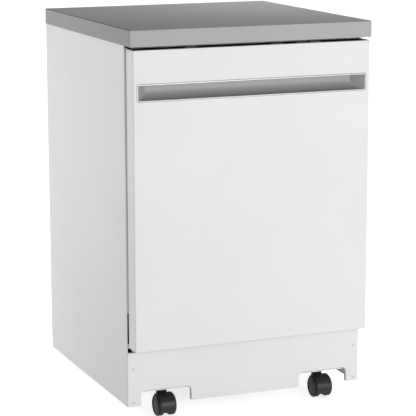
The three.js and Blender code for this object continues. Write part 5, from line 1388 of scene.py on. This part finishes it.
def make_world():
    """A studio that is brightest at eye level and dim overhead, and plain white where the camera sees it."""
    world = bpy.data.worlds.new("studio")
    world.use_nodes = True
    bpy.context.scene.world = world
    tree = world.node_tree
    direction = tree.nodes.new("ShaderNodeTexCoord").outputs["Generated"]
    height = add_node(tree, "SeparateXYZ", "Z", {"Vector": direction})
    sky = add_node(tree, "MapRange", "Result",
                   {"Value": height, "From Max": SKY_TOP, "To Min": SKY_LOW, "To Max": SKY_HIGH})
    level = add_node(tree, "Mix", "Result", {"Factor": seen(tree, "Is Transmission Ray"), "A": sky, "B": 1.0})
    background = tree.nodes["Background"].inputs
    background["Color"].default_value = (1, 1, 1, 1)
    put(tree, background["Strength"], level)


def make_floor():
    half = FLOOR_HALF / MM
    corners = ((-half, -half), (half, -half), (half, half), (-half, half))
    bm = bmesh.new()
    bm.faces.new([bm.verts.new((x, y, 0)) for x, y in corners])
    floor = raw_object("floor", bm)
    material, tree, shader = principled("floor_white", 1.0, 0.0)
    shader["Base Color"].default_value = (0.8, 0.8, 0.8, 1)
    shader["Emission Color"].default_value = (1, 1, 1, 1)
    glow = {0: seen(tree, "Is Glossy Ray"), 1: FLOOR_GLOW}
    put(tree, shader["Emission Strength"], add_node(tree, "Math", 0, glow, operation="MULTIPLY"))
    floor.data.materials.append(material)


def add_area(name, location, target, size, power):
    data = bpy.data.lights.new(name, "AREA")
    data.shape = "RECTANGLE"
    data.size, data.size_y = size
    data.energy = power
    lamp = bpy.data.objects.new(name, data)
    lamp.location = location
    lamp.visible_camera = False
    lamp.rotation_euler = (Vector(target) - Vector(location)).to_track_quat("-Z", "Y").to_euler()
    bpy.context.scene.collection.objects.link(lamp)


def make_camera():
    yaw, pitch, roll = (math.radians(a) for a in (CAMERA_YAW, CAMERA_PITCH, CAMERA_ROLL))
    ahead = Vector((math.cos(pitch) * math.sin(yaw), math.cos(pitch) * math.cos(yaw), math.sin(pitch)))
    right = Vector((math.cos(yaw), -math.sin(yaw), 0))
    up = right.cross(ahead)
    turned = right * math.cos(roll) + up * math.sin(roll)
    lifted = up * math.cos(roll) - right * math.sin(roll)
    data = bpy.data.cameras.new("camera")
    data.lens = LENS
    data.sensor_width = SENSOR
    camera = bpy.data.objects.new("camera", data)
    basis = Matrix((turned, lifted, -ahead)).transposed().to_4x4()
    camera.matrix_world = Matrix.Translation(CAMERA_PLACE) @ basis
    bpy.context.scene.collection.objects.link(camera)
    bpy.context.scene.camera = camera


# ---------------------------------------------------------------- everything
make_camera()
make_world()
for lamp_row in LAMPS:
    add_area(*lamp_row)
make_floor()
make_worktop()
for side_name, sign in SIDES:
    make_side_panel(side_name, sign)
make_rear_panel()
make_rear_fittings()
make_blankets()
make_kick_plate()
for end_name in ("front", "rear"):
    for side_name, _ in SIDES:
        make_caster(end_name, side_name)
make_door_skin()
make_handle()
make_console()
make_buttons()
make_inner_door()
make_dispenser()
make_tub()
make_gasket()
make_rails()
make_lower_rack()
make_upper_rack()
make_basket()
make_sump()
make_filter_cup()
make_pumps()
make_heater()
make_spray_arm("lower_spray_arm", 13.0, 12.6)
make_spray_arm("upper_spray_arm", 9.5, 8.6)
make_feed_tube()
make_inlet_valve()
for side_name, _ in SIDES:
    make_door_spring(side_name)
    keep_node(f"{side_name}_hinge_bracket", 0.4)
    keep_node(f"{side_name}_hinge_arm", 0.4)
keep_node("base_frame", 0.5)
keep_node("latch_strike", 0.5)
keep_node("latch_hook", 0.4)

bpy.context.scene.view_settings.view_transform = "Standard"
